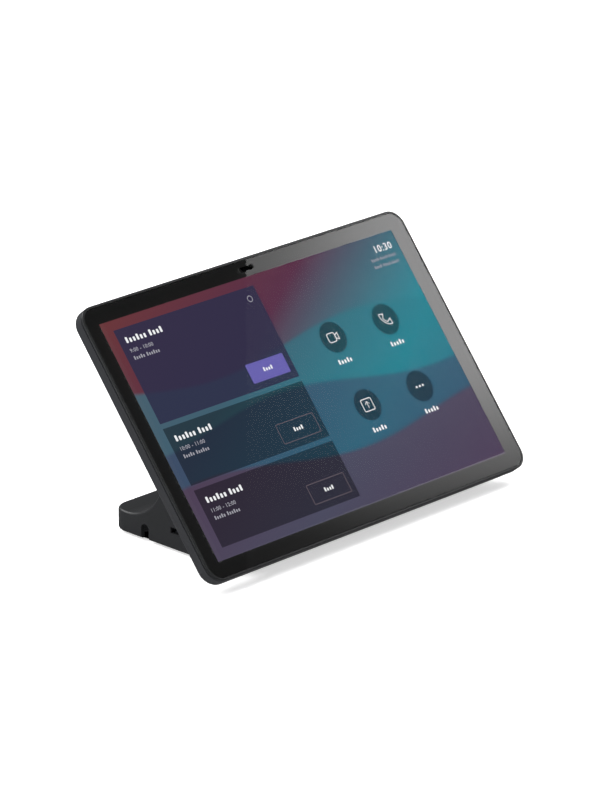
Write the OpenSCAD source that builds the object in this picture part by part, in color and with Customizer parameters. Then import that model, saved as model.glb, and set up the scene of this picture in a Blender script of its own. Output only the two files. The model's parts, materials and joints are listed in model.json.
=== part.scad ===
// Tabletop touch console: a tilted screen head on a swept wedge base with a cable bay.
// Head parts are drawn in a head frame: x across, y up the screen, z out of the glass (glass face at 0).
// Base parts are drawn with z = 0 at the underside of the base and y = 0 below the screen centre.

/* [Screen] */
// Width of the lit area of the display
screen_w = 172.2; // [150:0.1:200]
// Height of the lit area of the display
screen_h = 107.6; // [90:0.1:125]
// Black border of the glass left and right of the lit area
border_x = 7.4; // [5:0.1:12]
// Black border of the glass above and below the lit area
border_y = 7.1; // [6.8:0.1:12]
// Thickness of the cover glass
glass_t = 1.1; // [0.7:0.1:2]
// Lean of the screen above the table, in degrees
tilt = 51.4; // [48:0.1:56]
// Height of the screen centre above the table
screen_lift = 56; // [54:0.5:66]

/* [Head case] */
// Width of the frame rim around the glass
lip = 1.1; // [0.8:0.1:2]
// Corner radius of the head in front view
head_r = 7.2; // [5:0.1:14]
// Depth of the straight side wall behind the glass face
side_depth = 5.6; // [5:0.1:8]
// Depth of the whole head behind the glass face
head_depth = 10.5; // [10.5:0.1:14]
// Wall of the rear housing
head_wall = 1.6; // [1.2:0.1:2]
// Length of the sensor window
sensor_l = 7.4; // [5:0.1:10]
// Height of the sensor window
sensor_h = 2.3; // [1.5:0.1:2.6]

/* [Base] */
// Width of the base
base_w = 137; // [126:1:170]
// Wall of the base shell
base_wall = 2.0; // [1.6:0.1:2.6]
// Height of the low rear deck above the underside
deck_h = 9.5; // [9:0.1:14]
// Length of the base from its front wall to its rear wall
base_len = 68.5; // [62:0.1:84]
// Flat length of the deck before the sweep starts
deck_l = 9; // [6:0.1:20]
// Radius of the concave sweep from the deck into the neck
sweep_r = 21.5; // [16:0.1:24]
// Angle of the neck's back above the deck at the end of the sweep, in degrees
neck_angle = 80; // [74:1:86]
// Corner radius of the base in plan at the rear
base_r = 8; // [4:0.5:14]
// Gap between the back of the head and the face of the neck
neck_gap = 1.0; // [0.6:0.1:2]
// Height of the rubber feet below the base
foot_proud = 1.0; // [0.6:0.1:2]
// Radius of a rubber foot
foot_r = 5; // [3:0.1:6]

/* [Openings] */
// Width of the cable arch in the left wall
arch_w = 4.8; // [4.6:0.1:7]
// Height of the cable arch above the underside
arch_h = 6.8; // [6:0.1:7]
// Distance of the cable arch from the rear wall
arch_back = 20.4; // [16:0.1:24]
// Length of the security slot
lock_l = 7; // [6:0.1:7.4]
// Height of the security slot
lock_h = 2.5; // [2.3:0.1:3]
// Width of the network socket's mouth
net_mouth_w = 11.9; // [11.7:0.1:12.2]
// Height of the network socket's mouth
net_mouth_h = 8.0; // [7:0.1:8.4]

/* [Hinge] */
// Distance of each hinge from the middle
hinge_x = 45; // [36:1:50]
// Radius of the hinge knuckles
knuckle_r = 2.0; // [1.8:0.1:2.2]
// Radius of the hinge pins
pin_r = 1.0; // [0.8:0.1:1.2]
// Running clearance of the pin in the head's knuckle
pin_clear = 0.05; // [0.02:0.01:0.08]
// Thickness of the hinge leaves
leaf_t = 1.4; // [1:0.1:1.4]
// Distance of the hinge axis below the screen centre, along the screen
hinge_down = 54; // [53:0.5:55]

/* [Hidden] */
$fn = 64;

fit = 0.1;               // gap between pieces that are only laid together
hull_fn = 32;
leaf_clear = 0.35;       // gap between the base's knuckles and the back of the head
hinge_at = min(hinge_x, base_w / 2 - 19.5);  // the leaves stay between the screw posts of a narrow base

// Head outline
glass_w = screen_w + 2 * border_x;
glass_h = screen_h + 2 * border_y;
head_w = glass_w + 2 * (fit + lip);
head_h = glass_h + 2 * (fit + lip);
glass_r = head_r - lip - fit;
taper = head_depth - side_depth;
lip_proud = 0.1;

// Layers of the head, as depths behind the glass face
ink_t = 0.1;
adhesive_t = 0.3;
ink_z = glass_t + ink_t;
shelf_z = ink_z + adhesive_t;
cell_z = shelf_z + 1.0;
film_z = cell_z + 0.4;
guide_z = film_z + 1.1;
tray_z = guide_z + 0.4;
spreader_z = tray_z + 0.4;
pad_z = spreader_z + 0.5;
lip_d = 0.9;             // depth of the visible rim
groove = 0.3;            // shadow gap between the rim and the rear housing
flange_z = shelf_z + 0.9;
skirt_z = shelf_z + 2.7;
rabbet_wall = 0.6;
board_t = 1.0;
board_back = head_depth - head_wall - 0.7;
board_front = board_back - board_t;

// Display module outline: the cell is wider at the bottom, where its drivers sit
cell_w = screen_w + 4.4;
cell_h = screen_h + 4.8;
cell_y = -1.3;
tray_grow = 0.7;
tray_sheet = 0.3;
opening_grow = tray_grow + 0.3;
sensor_y = screen_h / 2 + border_y / 2 - 0.15;
sensor_pocket_w = 12;
sensor_pocket_top = sensor_y + 1.9;

// Main board
main_w = 96;
main_h = 58;
main_y = 8;
main_hole_x = main_w / 2 - 5;
main_hole_y = main_h / 2 - 5;
shield_w = 40;
shield_h = 30;
shield_x = -14;
ribbon_w = 20;
ribbon_t = 0.3;
ribbon_y = -42;          // where the ribbon crosses from head to neck, up the screen
connector_h = 1.0;
connector_low = main_y - main_h / 2 + 0.2;  // lower face of the flat-cable sockets

// Base layout
zc = screen_lift - foot_proud;   // screen centre above the underside of the base
neck_d = head_depth + neck_gap;  // neck face behind the glass face
neck_top_y = -2;                 // end of the neck, up the screen
neck_chamfer = 3;
front_low_y = -47;               // lower end of the neck face, up the screen
hinge_d = head_depth + knuckle_r + leaf_clear;
front_y = yz(front_low_y, -neck_d)[0];
rear_y = front_y + base_len;
sweep_y = rear_y - deck_l;
sweep_z = deck_h + sweep_r;
hinge_yz = yz(-hinge_down, -hinge_d);
head_front_y = yz(-head_h / 2, lip_proud)[0];
y_origin = (head_front_y + rear_y) / 2;

floor_t = 1.8;
chassis_t = 1.5;
chassis_top = floor_t + chassis_t;
standoff_h = 2.6;
io_bottom = chassis_top + standoff_h;
io_t = 1.2;
io_top = io_bottom + io_t;
jack_wall_y = front_y + 25.6;    // where the sockets' mouths face the cable bay
jack_wall_t = 1.6;
bay_roof_z = 21;
bay_roof_t = 1.5;
bay_half = base_w / 2 - base_wall - 1.6;
lock_y = jack_wall_y + lock_l / 2 + 0.4;
lock_z = 8.5;
lock_plate_t = 1.2;
foot_sink = 0.6;
foot_rear = [base_w / 2 - 12.5, rear_y - 9];
foot_front = [base_w / 2 - 18.5, front_y + 8.3];
post_r = 3;
post_top = 10.5;
post_x = base_w / 2 - 6.5;
post_y = [front_y + 6.3, front_y + 20.8];
floor_screw_y = post_y;
net_x = 18;
net_w = 16;
net_h = 12.0;
net_l = 15.4;
usb_x = -16;
usb_w = 8.94;
usb_h = 3.26;
usb_l = 7.3;
reset_x = -24;
reset_y = front_y + 14.3;
reset_travel = 0.25;
io_w = 68;
io_l = 18.5;
io_y = jack_wall_y - jack_wall_t - fit - io_l / 2;
io_hole_x = io_w / 2 - 4;
io_hole_y = io_l / 2 - 4.6;
leaf_w = 18;
head_leaf_l = 21;
base_leaf_l = 20;
knuckle_half = 3.9;
washer_gap = 0.4;
washer_t = 0.3;
bumper_x = 40;
bumper_y = -12;
bumper_r = 4;
bumper_sink = 0.8;

// Point (up the screen, out of the glass) of the head frame, as (y, z) of the base frame
function yz(up, out) = [up * cos(tilt) - out * sin(tilt), zc + up * sin(tilt) + out * cos(tilt)];

module in_head() translate([0, -y_origin, screen_lift]) rotate([tilt, 0, 0]) children();
module in_base() translate([0, -y_origin, foot_proud]) children();
// Stands a side-view outline (drawn as y, z) up and extrudes it over a width centred on x
module side_extrude(w) rotate([90, 0, 90]) translate([0, 0, -w / 2]) linear_extrude(w) children();

module rounded(w, h, r) {
    square([w - 2 * r, h], center = true);
    square([w, h - 2 * r], center = true);
    for (x = [-1, 1], y = [-1, 1])
        translate([x * (w / 2 - r), y * (h / 2 - r)]) circle(r);
}

// Plate between two depths behind the glass face
module layer(front, back) translate([0, 0, -back]) linear_extrude(back - front) children();

module stadium(w, h) {
    square([w - h, h], center = true);
    for (s = [-1, 1]) translate([s * (w - h) / 2, 0]) circle(h / 2);
}

// Screw with its head's top at z = 0 and its shank pointing down
module screw(shank_r, shank_l, top_r, top_h) {
    difference() {
        translate([0, 0, -top_h]) cylinder(h = top_h, r = top_r);
        translate([0, 0, -top_h * 0.6]) cylinder(h = top_h, r = top_r * 0.5, $fn = 6);
    }
    translate([0, 0, -top_h - shank_l]) cylinder(h = shank_l, r = shank_r);
}

// ---------- head ----------

module cover_glass() color("#15181b") in_head() layer(0, glass_t) rounded(glass_w, glass_h, glass_r);

module ink_border() color("#0c0c0d") in_head() layer(glass_t, ink_z) difference() {
    rounded(glass_w, glass_h, glass_r);
    square([screen_w + 0.4, screen_h + 0.4], center = true);
    translate([0, sensor_y]) stadium(sensor_l, sensor_h);
}

module touch_film() color("#39424a") in_head() {
    layer(ink_z, shelf_z) translate([0, cell_y]) square([cell_w, cell_h], center = true);
    layer(glass_t, ink_z) square([screen_w + 0.2, screen_h + 0.2], center = true);
}

module lcd_cell() color("#4a5fa8") in_head() layer(shelf_z, cell_z)
    translate([0, cell_y]) square([cell_w, cell_h], center = true);

module diffuser_films() color("#e8ecef") in_head() layer(cell_z, film_z)
    translate([0, cell_y]) square([cell_w - 1.6, cell_h - 1.6], center = true);

module light_guide() color("#dcebf2") in_head() layer(film_z, guide_z)
    translate([0, cell_y + 1.8]) square([cell_w - 1.6, cell_h - 5.2], center = true);

module led_strip() color("#f2f0d8") in_head() {
    layer(film_z + 0.1, guide_z - 0.1)
        translate([0, cell_y - cell_h / 2 + 1.4]) square([cell_w - 6, 0.8], center = true);
    for (i = [-11 : 11])
        layer(film_z + 0.2, guide_z - 0.2)
            translate([i * 7.2, cell_y - cell_h / 2 + 2.6]) square([3.2, 1.6], center = true);
}

module backlight_tray() color("#9aa0a4") in_head() translate([0, cell_y, 0]) {
    layer(guide_z, tray_z) square([cell_w + 2 * tray_grow, cell_h + 2 * tray_grow], center = true);
    layer(shelf_z + 0.2, guide_z) difference() {
        square([cell_w + 2 * tray_grow, cell_h + 2 * tray_grow], center = true);
        square([cell_w + 2 * (tray_grow - tray_sheet), cell_h + 2 * (tray_grow - tray_sheet)], center = true);
    }
}

// Cut that clears the display module, and the pocket of the sensor above it
module frame_opening(grow) {
    translate([0, cell_y]) square([cell_w + 2 * grow, cell_h + 2 * grow], center = true);
    translate([0, (sensor_pocket_top + screen_h / 2 + 1) / 2])
        square([sensor_pocket_w + 2 * (grow - opening_grow), sensor_pocket_top - screen_h / 2 - 1], center = true);
}

module glass_adhesive() color("#2a2a2c") in_head() layer(ink_z, shelf_z) difference() {
    rounded(glass_w - 0.4, glass_h - 0.4, glass_r - 0.2);
    frame_opening(opening_grow + 0.3);
}

snap_w = 6;
snap_z = shelf_z + 1.7;
snap_h = 0.9;
module snap_tabs(grow) {
    skirt_w = head_w - 2 * (head_wall + fit);
    skirt_h = head_h - 2 * (head_wall + fit);
    for (x = [-66, -22, 22, 66], s = [-1, 1]) translate([x, s * skirt_h / 2])
        square([snap_w + 2 * grow, 2 * (0.5 + grow)], center = true);
    for (y = [-30, 20], s = [-1, 1]) translate([s * skirt_w / 2, y])
        square([2 * (0.5 + grow), snap_w + 2 * grow], center = true);
}

module front_frame() color("#1b1c1d") in_head() {
    sub_w = head_w - 2 * (rabbet_wall + fit);
    sub_h = head_h - 2 * (rabbet_wall + fit);
    layer(-lip_proud, lip_d) difference() {
        rounded(head_w, head_h, head_r);
        rounded(glass_w + 2 * fit, glass_h + 2 * fit, glass_r + fit);
    }
    layer(lip_d, shelf_z) difference() {
        rounded(sub_w, sub_h, head_r - rabbet_wall - fit);
        rounded(glass_w + 2 * fit, glass_h + 2 * fit, glass_r + fit);
    }
    layer(shelf_z, flange_z) difference() {
        rounded(sub_w, sub_h, head_r - rabbet_wall - fit);
        frame_opening(opening_grow);
    }
    layer(flange_z, skirt_z) difference() {
        rounded(head_w - 2 * (head_wall + fit), head_h - 2 * (head_wall + fit), head_r - head_wall - fit);
        frame_opening(opening_grow);
    }
    layer(snap_z, snap_z + snap_h) difference() {
        snap_tabs(0);
        square([head_w - 2 * (head_wall + fit) - 2, head_h - 2 * (head_wall + fit) - 2], center = true);
    }
}

// Outer or inner form of the rear housing: a straight wall and a tapered back
module housing_form(inset, top) {
    r = head_r - inset;
    layer(top, side_depth) rounded(head_w - 2 * inset, head_h - 2 * inset, r);
    hull() {
        layer(side_depth - 0.02, side_depth) offset_plate(inset, 0);
        layer(head_depth - inset - 0.02, head_depth - inset) offset_plate(inset, taper);
    }
}
module offset_plate(inset, back)
    rounded(head_w - 2 * (inset + back), head_h - 2 * (inset + back), max(head_r - inset - back * 0.5, 1), $fn = hull_fn);

module leaf_recess(grow, depth) for (s = [-1, 1])
    translate([s * hinge_at, -hinge_down + head_leaf_l / 2 - knuckle_r, -head_depth + depth / 2 - 0.5])
        cube([leaf_w + 2 * grow, head_leaf_l + 2 * grow, depth + 1], center = true);

module rear_housing() color("#2c2d2f") in_head() difference() {
    union() {
        difference() {
            housing_form(0, lip_d + groove);
            housing_form(head_wall, 0);
            layer(0, flange_z + fit) rounded(head_w - 2 * rabbet_wall, head_h - 2 * rabbet_wall, head_r - rabbet_wall);
            layer(snap_z - 0.2, snap_z + snap_h + 0.2) snap_tabs(0.2);
        }
        // bosses of the main board
        for (x = [-1, 1], y = [-1, 1])
            translate([x * main_hole_x, main_y + y * main_hole_y, -head_depth + head_wall / 2])
                cylinder(h = head_depth - board_back - head_wall / 2, r = 2.6);
        // pads that back the hinge leaves
        intersection() {
            translate([0, 0, leaf_t + fit]) leaf_recess(1.3, leaf_t + 0.7);
            housing_form(0.5, 2);
        }
    }
    leaf_recess(fit, leaf_t + fit);
    for (x = [-1, 1], y = [-1, 1])
        translate([x * main_hole_x, main_y + y * main_hole_y, -head_depth + 0.5])
            cylinder(h = 4, r = 1.0 + fit / 2);
    for (p = head_leaf_holes) translate([p[0], p[1], -head_depth]) cylinder(h = 4.6, r = 1.0 + fit / 2);
    // ribbon slot
    translate([0, ribbon_y, -head_depth]) cube([ribbon_w + 3, 4.4, 6], center = true);
}
head_leaf_holes = [for (s = [-1, 1], p = [[-5, 12], [5, 12], [0, 5.5]]) [s * hinge_at + p[0], -hinge_down + p[1]]];

module sensor_window() color("#050506") in_head() layer(glass_t, glass_t + 0.8)
    translate([0, sensor_y]) stadium(sensor_l - fit, sensor_h - fit);

module sensor_board() color("#1f5f3a") in_head() translate([0, sensor_y, 0]) {
    layer(2.6, 3.4) square([sensor_pocket_w - 1, 3.2], center = true);
    layer(2.0, 2.6) square([3, 2], center = true);
    layer(2.2, 2.6) translate([4, 0]) square([1.6, 1], center = true);
}

module heat_spreader() color("#b9bcbe") in_head() layer(tray_z, spreader_z)
    translate([0, 10]) rounded(150, 78, 3);

module thermal_pad() color("#8fa0b8") in_head() layer(spreader_z, pad_z)
    translate([shield_x, main_y]) square([shield_w - 6, shield_h - 4], center = true);

module main_board() color("#1c5a38") in_head() layer(board_front, board_back) translate([0, main_y]) difference() {
    rounded(main_w, main_h, 2);
    for (x = [-1, 1], y = [-1, 1]) translate([x * main_hole_x, y * main_hole_y]) circle(1.2);
}

module soc_shield() color("#c2c4c6") in_head() translate([shield_x, main_y, 0]) difference() {
    layer(pad_z, board_front) square([shield_w, shield_h], center = true);
    layer(pad_z + 0.3, board_front + 1) square([shield_w - 0.6, shield_h - 0.6], center = true);
}

// Chips under the can, power parts, radio module and the sockets for the flat cables
module board_parts() color("#2b2b30") in_head() translate([0, main_y, 0]) {
    for (p = [[-22, 2, 13, 13], [-7, 4, 9, 11], [-7, -8, 9, 6], [12, 16, 7, 7], [22, 16, 7, 7], [36, -2, 14, 12]])
        layer(board_front - 1.1, board_front) translate([p[0], p[1]]) square([p[2], p[3]], center = true);
    layer(board_front - connector_h, board_front) {
        translate([0, -main_h / 2 + 2]) square([ribbon_w + 3, 3.6], center = true);
        translate([28, -main_h / 2 + 2]) square([15, 3.6], center = true);
    }
    for (i = [0 : 5]) layer(board_front - 0.6, board_front)
        translate([14 + i * 3.4, 4]) square([1.2, 2], center = true);
}

// Flat cable from the lower edge of the display to the main board
module lcd_flex() color("#b5762a") in_head() translate([28, 0, 0]) rotate([90, 0, 90]) translate([0, 0, -6])
    linear_extrude(12) polygon(strip([[-50, -tray_z - 0.15], [-34, -tray_z - 0.15], [-30, -tray_z - 1.0],
        [-25, -board_front + 0.5], [connector_low - 0.05, -board_front + 0.5]], 0.2));

module wifi_antennas() color("#3a3a3c") in_head() for (s = [-1, 1])
    layer(head_depth - head_wall - 0.2, head_depth - head_wall)
        translate([s * 66, 44]) rounded(26, 9, 1);

module board_screws() color("#c9cacc") in_head() for (x = [-1, 1], y = [-1, 1])
    translate([x * main_hole_x, main_y + y * main_hole_y, -board_front + 0.7]) screw(1.0, 2.4, 1.9, 0.7);

// ---------- tilt hinges ----------

module head_leaf(side) color("#8d9194") in_head() difference() {
    union() {
        translate([side * hinge_at, -hinge_down + head_leaf_l / 2 - knuckle_r, -head_depth + leaf_t / 2])
            cube([leaf_w, head_leaf_l, leaf_t], center = true);
        translate([side * hinge_at, -hinge_down, -hinge_d / 2 - head_depth / 2 + leaf_t / 4])
            cube([2 * knuckle_half, 2 * knuckle_r, hinge_d - head_depth + leaf_t / 2], center = true);
        hinge_cylinder(side, knuckle_half, knuckle_r);
    }
    hinge_cylinder(side, leaf_w, pin_r + pin_clear);
    for (p = head_leaf_holes) translate([p[0], p[1], -head_depth - 1]) cylinder(h = leaf_t + 2, r = 1.0 + fit);
    for (p = head_leaf_holes) translate([p[0], p[1], -head_depth - 1]) cylinder(h = 1.8, r = 2.0);
}

// Cylinder on the hinge axis, in the head frame
module hinge_cylinder(side, half, r)
    translate([side * hinge_at, -hinge_down, -hinge_d]) rotate([0, 90, 0])
        cylinder(h = 2 * half, r = r, center = true);

module hinge_leaf_head_left() head_leaf(-1);
module hinge_leaf_head_right() head_leaf(1);

module hinge_screws_head() color("#c9cacc") in_head() for (p = head_leaf_holes)
    translate([p[0], p[1], -head_depth]) rotate([180, 0, 0]) screw(1.0, 1.9, 1.9, 0.75);

knuckle_in = knuckle_half + washer_gap;
base_leaf_holes = [for (s = [-1, 1], p = [[-5.5, 10], [5.5, 10], [0, 15]]) [s * hinge_at + p[0], hinge_yz[0] + p[1]]];

module base_leaf(side) color("#8d9194") in_base() difference() {
    union() {
        translate([side * hinge_at, hinge_yz[0] + base_leaf_l / 2, chassis_top + leaf_t / 2])
            cube([leaf_w, base_leaf_l, leaf_t], center = true);
        base_hinge_cylinder(side, leaf_w / 2, knuckle_r);
    }
    // room for the head's knuckle
    translate([side * hinge_at, hinge_yz[0], hinge_yz[1]])
        cube([2 * knuckle_in, 2 * knuckle_r + 1.4, 3 * knuckle_r], center = true);
    base_hinge_cylinder(side, leaf_w, pin_r);
    for (p = base_leaf_holes) translate([p[0], p[1], chassis_top - 1]) cylinder(h = leaf_t + 2, r = 1.0 + fit);
}

module base_hinge_cylinder(side, half, r)
    translate([side * hinge_at, hinge_yz[0], hinge_yz[1]]) rotate([0, 90, 0])
        cylinder(h = 2 * half, r = r, center = true);

module hinge_leaf_base_left() base_leaf(-1);
module hinge_leaf_base_right() base_leaf(1);

module hinge_pin(side) color("#b3b6b8") in_base() {
    base_hinge_cylinder(side, leaf_w / 2, pin_r);
    for (s = [-1, 1]) translate([s * (leaf_w / 2 + 0.3), 0, 0]) base_hinge_cylinder(side, 0.3, pin_r + 0.5);
}
module hinge_pin_left() hinge_pin(-1);
module hinge_pin_right() hinge_pin(1);

module friction_washers() color("#d0b070") in_base() for (side = [-1, 1], s = [-1, 1])
    translate([s * (knuckle_half + washer_gap / 2), 0, 0]) difference() {
        base_hinge_cylinder(side, washer_t / 2, knuckle_r);
        base_hinge_cylinder(side, washer_t, pin_r + pin_clear);
    }

module hinge_screws_base() color("#c9cacc") in_base() for (p = base_leaf_holes)
    translate([p[0], p[1], chassis_top + leaf_t + 0.8]) screw(1.0, leaf_t + chassis_t - 0.2, 1.9, 0.8);

// ---------- base ----------

// Side view of the base (y, z), shrunk by a wall thickness
module base_side(inset) {
    r = sweep_r + inset;
    top_in = neck_top_y - inset;
    corner = [sweep_y - r * tan(neck_angle / 2), deck_h - inset];
    arc_end = [sweep_y - r * sin(neck_angle), sweep_z - r * cos(neck_angle)];
    top_front = yz(top_in, -neck_d - inset);
    // where the neck's back meets the cut across its top
    across = [sin(tilt), -cos(tilt)];
    back = [-cos(neck_angle), sin(neck_angle)];
    gap = top_front - arc_end;
    reach = (gap[0] * across[1] - gap[1] * across[0]) / (back[0] * across[1] - back[1] * across[0]);
    top_back = arc_end + reach * back;
    chamfer = max(neck_chamfer - inset * 0.6, 0.5);
    polygon([[front_y + inset, 0], [rear_y - inset, 0], [rear_y - inset, deck_h - inset], corner, top_back - chamfer * back,
        top_back - chamfer * across, top_front, yz(front_low_y, -neck_d - inset) + [0, 0],
        [front_y + inset, yz(front_low_y, -neck_d - inset)[1] - 0.01]]);
    difference() {
        polygon([corner - [1, 0], [sweep_y, deck_h - inset], arc_end, arc_end - [1, 0]]);
        translate([sweep_y, sweep_z]) circle(r);
    }
}

// Plan view of the base (x, y), shrunk by a wall thickness
module base_plan(inset) translate([0, (front_y + rear_y) / 2]) {
    w = base_w - 2 * inset;
    l = base_len - 2 * inset;
    r = base_r - inset;
    front_r = 3;
    translate([0, -r / 2]) square([w, l - r - 2 * front_r * 0], center = true);
    square([w - 2 * r, l], center = true);
    for (s = [-1, 1]) translate([s * (w / 2 - r), l / 2 - r]) circle(r);
}

module base_form(inset, low) intersection() {
    side_extrude(base_w) base_side(inset);
    translate([0, 0, low]) linear_extrude(zc) base_plan(inset);
}

module arch_cut() translate([-base_w / 2, rear_y - arch_back, 0]) rotate([90, 0, 90]) {
    translate([0, arch_h - arch_w / 2, -base_wall]) cylinder(h = 3 * base_wall, r = arch_w / 2);
    translate([-(arch_w - 0.4) / 2, -1, -base_wall]) cube([arch_w - 0.4, arch_h - arch_w / 2 + 1, 3 * base_wall]);
}

module base_shell() color("#2e2f31") in_base() difference() {
    union() {
        difference() {
            base_form(0, 0);
            translate([0, 0, -0.01]) base_form(base_wall, -1);
        }
        // posts for the floor screws
        for (x = [-1, 1], y = post_y) {
            translate([x * post_x, y, floor_t + fit / 2]) cylinder(h = post_top - floor_t - fit / 2, r = post_r);
            translate([x * (post_x + base_w / 2 - base_wall / 2) / 2, y, (post_top + chassis_top + fit) / 2])
                cube([base_w / 2 - base_wall / 2 - post_x, 2, post_top - chassis_top - fit], center = true);
        }
        // rear blocks that carry the rear feet
        for (x = [-1, 1]) translate([x * foot_rear[0], foot_rear[1], deck_h / 2 - 0.5])
            cube([2 * foot_r + 3, 2 * foot_r + 1, deck_h - 1], center = true);
    }
    arch_cut();
    // security slot
    translate([-base_w / 2, lock_y, lock_z]) cube([3 * base_wall, lock_l, lock_h], center = true);
    // slots for the hinge leaves
    for (s = [-1, 1]) translate([s * hinge_at, front_y, chassis_top + leaf_t / 2])
        cube([leaf_w + 1, 3 * base_wall, leaf_t + 1], center = true);
    // pilot holes
    for (x = [-1, 1], y = post_y) translate([x * post_x, y, 0]) cylinder(h = 9, r = 1.0 + fit / 2);
    // pockets of the rear feet
    for (x = [-1, 1]) translate([x * foot_rear[0], foot_rear[1], -1]) cylinder(h = 1 + foot_sink, r = foot_r + fit);
    // pockets of the bumpers and the ribbon slot, cut square to the neck face
    translate([0, 0, zc]) rotate([tilt, 0, 0]) {
        for (s = [-1, 1]) translate([s * bumper_x, bumper_y, -neck_d - bumper_sink])
            cylinder(h = 2, r = bumper_r + fit);
        translate([0, ribbon_y, -neck_d]) cube([ribbon_w + 3, 5, 3 * base_wall], center = true);
    }
}

// Floor of the electronics space, with the socket wall and the roof of the cable bay
module base_floor() color("#242527") in_base() difference() {
    union() {
        translate([0, (front_y + base_wall + jack_wall_y) / 2, floor_t / 2])
            cube([base_w - 2 * base_wall - 2 * fit, jack_wall_y - front_y - base_wall - 2 * fit, floor_t], center = true);
        translate([0, jack_wall_y - jack_wall_t / 2 - fit, bay_roof_z / 2])
            cube([2 * bay_half, jack_wall_t, bay_roof_z], center = true);
        translate([0, (jack_wall_y + roof_end) / 2 - jack_wall_t / 2, bay_roof_z - bay_roof_t / 2])
            cube([2 * bay_half, roof_end - jack_wall_y + jack_wall_t, bay_roof_t], center = true);
    }
    translate([net_x, jack_wall_y, io_top + net_h / 2]) cube([net_w + 2 * fit, 6, net_h + 2 * fit], center = true);
    translate([usb_x, jack_wall_y - 3, io_top + usb_h / 2]) rotate([-90, 0, 0])
        linear_extrude(6) stadium(usb_w + 2 * fit, usb_h + 2 * fit);
    for (x = [-1, 1], y = post_y) translate([x * post_x, y, -1]) cylinder(h = 4, r = 1.3);
    for (x = [-1, 1], y = post_y) translate([x * post_x, y, -1]) cylinder(h = 1.9, r = 2.2);
    for (x = [-1, 1]) translate([x * foot_front[0], foot_front[1], -1]) cylinder(h = 1 + foot_sink, r = foot_r + fit);
    translate([reset_x, reset_y, -1]) cylinder(h = 4, r = 0.8);
}
roof_end = sweep_y - sqrt(pow(sweep_r + base_wall, 2) - pow(sweep_z - bay_roof_z, 2)) - 0.2;

module chassis_plate() color("#a7abad") in_base() difference() {
    union() {
        translate([0, (front_y + base_wall + jack_wall_y - jack_wall_t) / 2, floor_t + chassis_t / 2])
            cube([base_w - 2 * base_wall - 2, jack_wall_y - jack_wall_t - front_y - base_wall - 1, chassis_t], center = true);
        for (x = [-1, 1], y = [-1, 1]) translate([x * io_hole_x, io_y + y * io_hole_y, chassis_top - 0.5])
            cylinder(h = standoff_h + 0.5, r = 2.2);
    }
    for (x = [-1, 1], y = post_y) translate([x * post_x, y, 0]) cylinder(h = 9, r = post_r + fit);
    for (p = base_leaf_holes) translate([p[0], p[1], 0]) cylinder(h = 9, r = 1.0 + fit / 2);
    for (x = [-1, 1], y = [-1, 1]) translate([x * io_hole_x, io_y + y * io_hole_y, 0]) cylinder(h = 9, r = 0.8 + fit / 2);
    translate([reset_x, reset_y, 0]) cylinder(h = 9, r = 1.4);
}

module io_board() color("#1c5a38") in_base() difference() {
    translate([0, io_y, io_bottom + io_t / 2]) cube([io_w, io_l, io_t], center = true);
    for (x = [-1, 1], y = [-1, 1]) translate([x * io_hole_x, io_y + y * io_hole_y, 0]) cylinder(h = 12, r = 1.0);
}

// Flat-cable socket, power and network parts of the base's board
module io_parts() color("#2b2b30") in_base() {
    for (p = [[0, front_y + 7.2, ribbon_w + 3, 2.4, 1.0], [-6, io_y + 1, 8, 8, 1.1], [-24, io_y + 6, 5, 5, 2.4],
        [3, io_y + 4, 5, 4, 1.4], [30, io_y + 0.4, 3, 4, 2.2], [0, io_y - 4.4, 2, 1.2, 0.8], [5, io_y - 4.4, 2, 1.2, 0.8]])
        translate([p[0], p[1], io_top + p[4] / 2]) cube([p[2], p[3], p[4]], center = true);
}

module network_jack_shell() color("#c8cacc") in_base() translate([net_x, jack_wall_y - net_l / 2, io_top]) difference() {
    translate([0, 0, net_h / 2]) cube([net_w, net_l, net_h], center = true);
    translate([0, -0.3, net_h / 2 - 0.3]) cube([net_w - 0.6, net_l, net_h], center = true);
    // front mouth in the folded face
    translate([0, net_l / 2, net_h / 2]) cube([net_mouth_w + 0.6, 2, net_mouth_h + 1.2], center = true);
}

module network_jack_insert() color("#151516") in_base()
    translate([net_x, jack_wall_y - net_l / 2, io_top]) difference() {
        translate([0, -0.3, (net_h - 0.4) / 2]) cube([net_w - 0.8, net_l - 0.7, net_h - 0.4], center = true);
        translate([0, net_l / 2 - 6, net_h / 2]) cube([net_mouth_w, 12.4, net_mouth_h], center = true);
    }

module network_contacts() color("#d9b45a") in_base() for (i = [0 : 7])
    translate([net_x + (i - 3.5) * 1.02, jack_wall_y - 12.15, io_top + net_h / 2 + net_mouth_h / 2 - 1.1])
        rotate([3, 0, 0]) translate([-0.2, 0, 0]) cube([0.4, 9, 0.3]);

module usb_socket_shell() color("#c8cacc") in_base() translate([usb_x, jack_wall_y - usb_l, io_top + usb_h / 2])
    rotate([-90, 0, 0]) difference() {
        linear_extrude(usb_l) stadium(usb_w, usb_h);
        translate([0, 0, 0.6]) linear_extrude(usb_l) stadium(usb_w - 0.6, usb_h - 0.6);
    }

module usb_socket_tongue() color("#151516") in_base()
    translate([usb_x, jack_wall_y - usb_l + 0.6 + 2.8, io_top + usb_h / 2]) cube([6.7, 5.6, 0.7], center = true);

module lock_plate() color("#a7abad") in_base()
    translate([-base_w / 2 + base_wall + lock_plate_t / 2 + fit / 2, lock_y, lock_z]) difference() {
        cube([lock_plate_t, lock_l + 7, lock_h + 6], center = true);
        cube([3, lock_l, lock_h], center = true);
    }

module rubber_feet() color("#1a1a1a") in_base() for (x = [-1, 1], p = [foot_rear, foot_front])
    translate([x * p[0], p[1], -foot_proud]) cylinder(h = foot_proud + foot_sink, r = foot_r);

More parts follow.
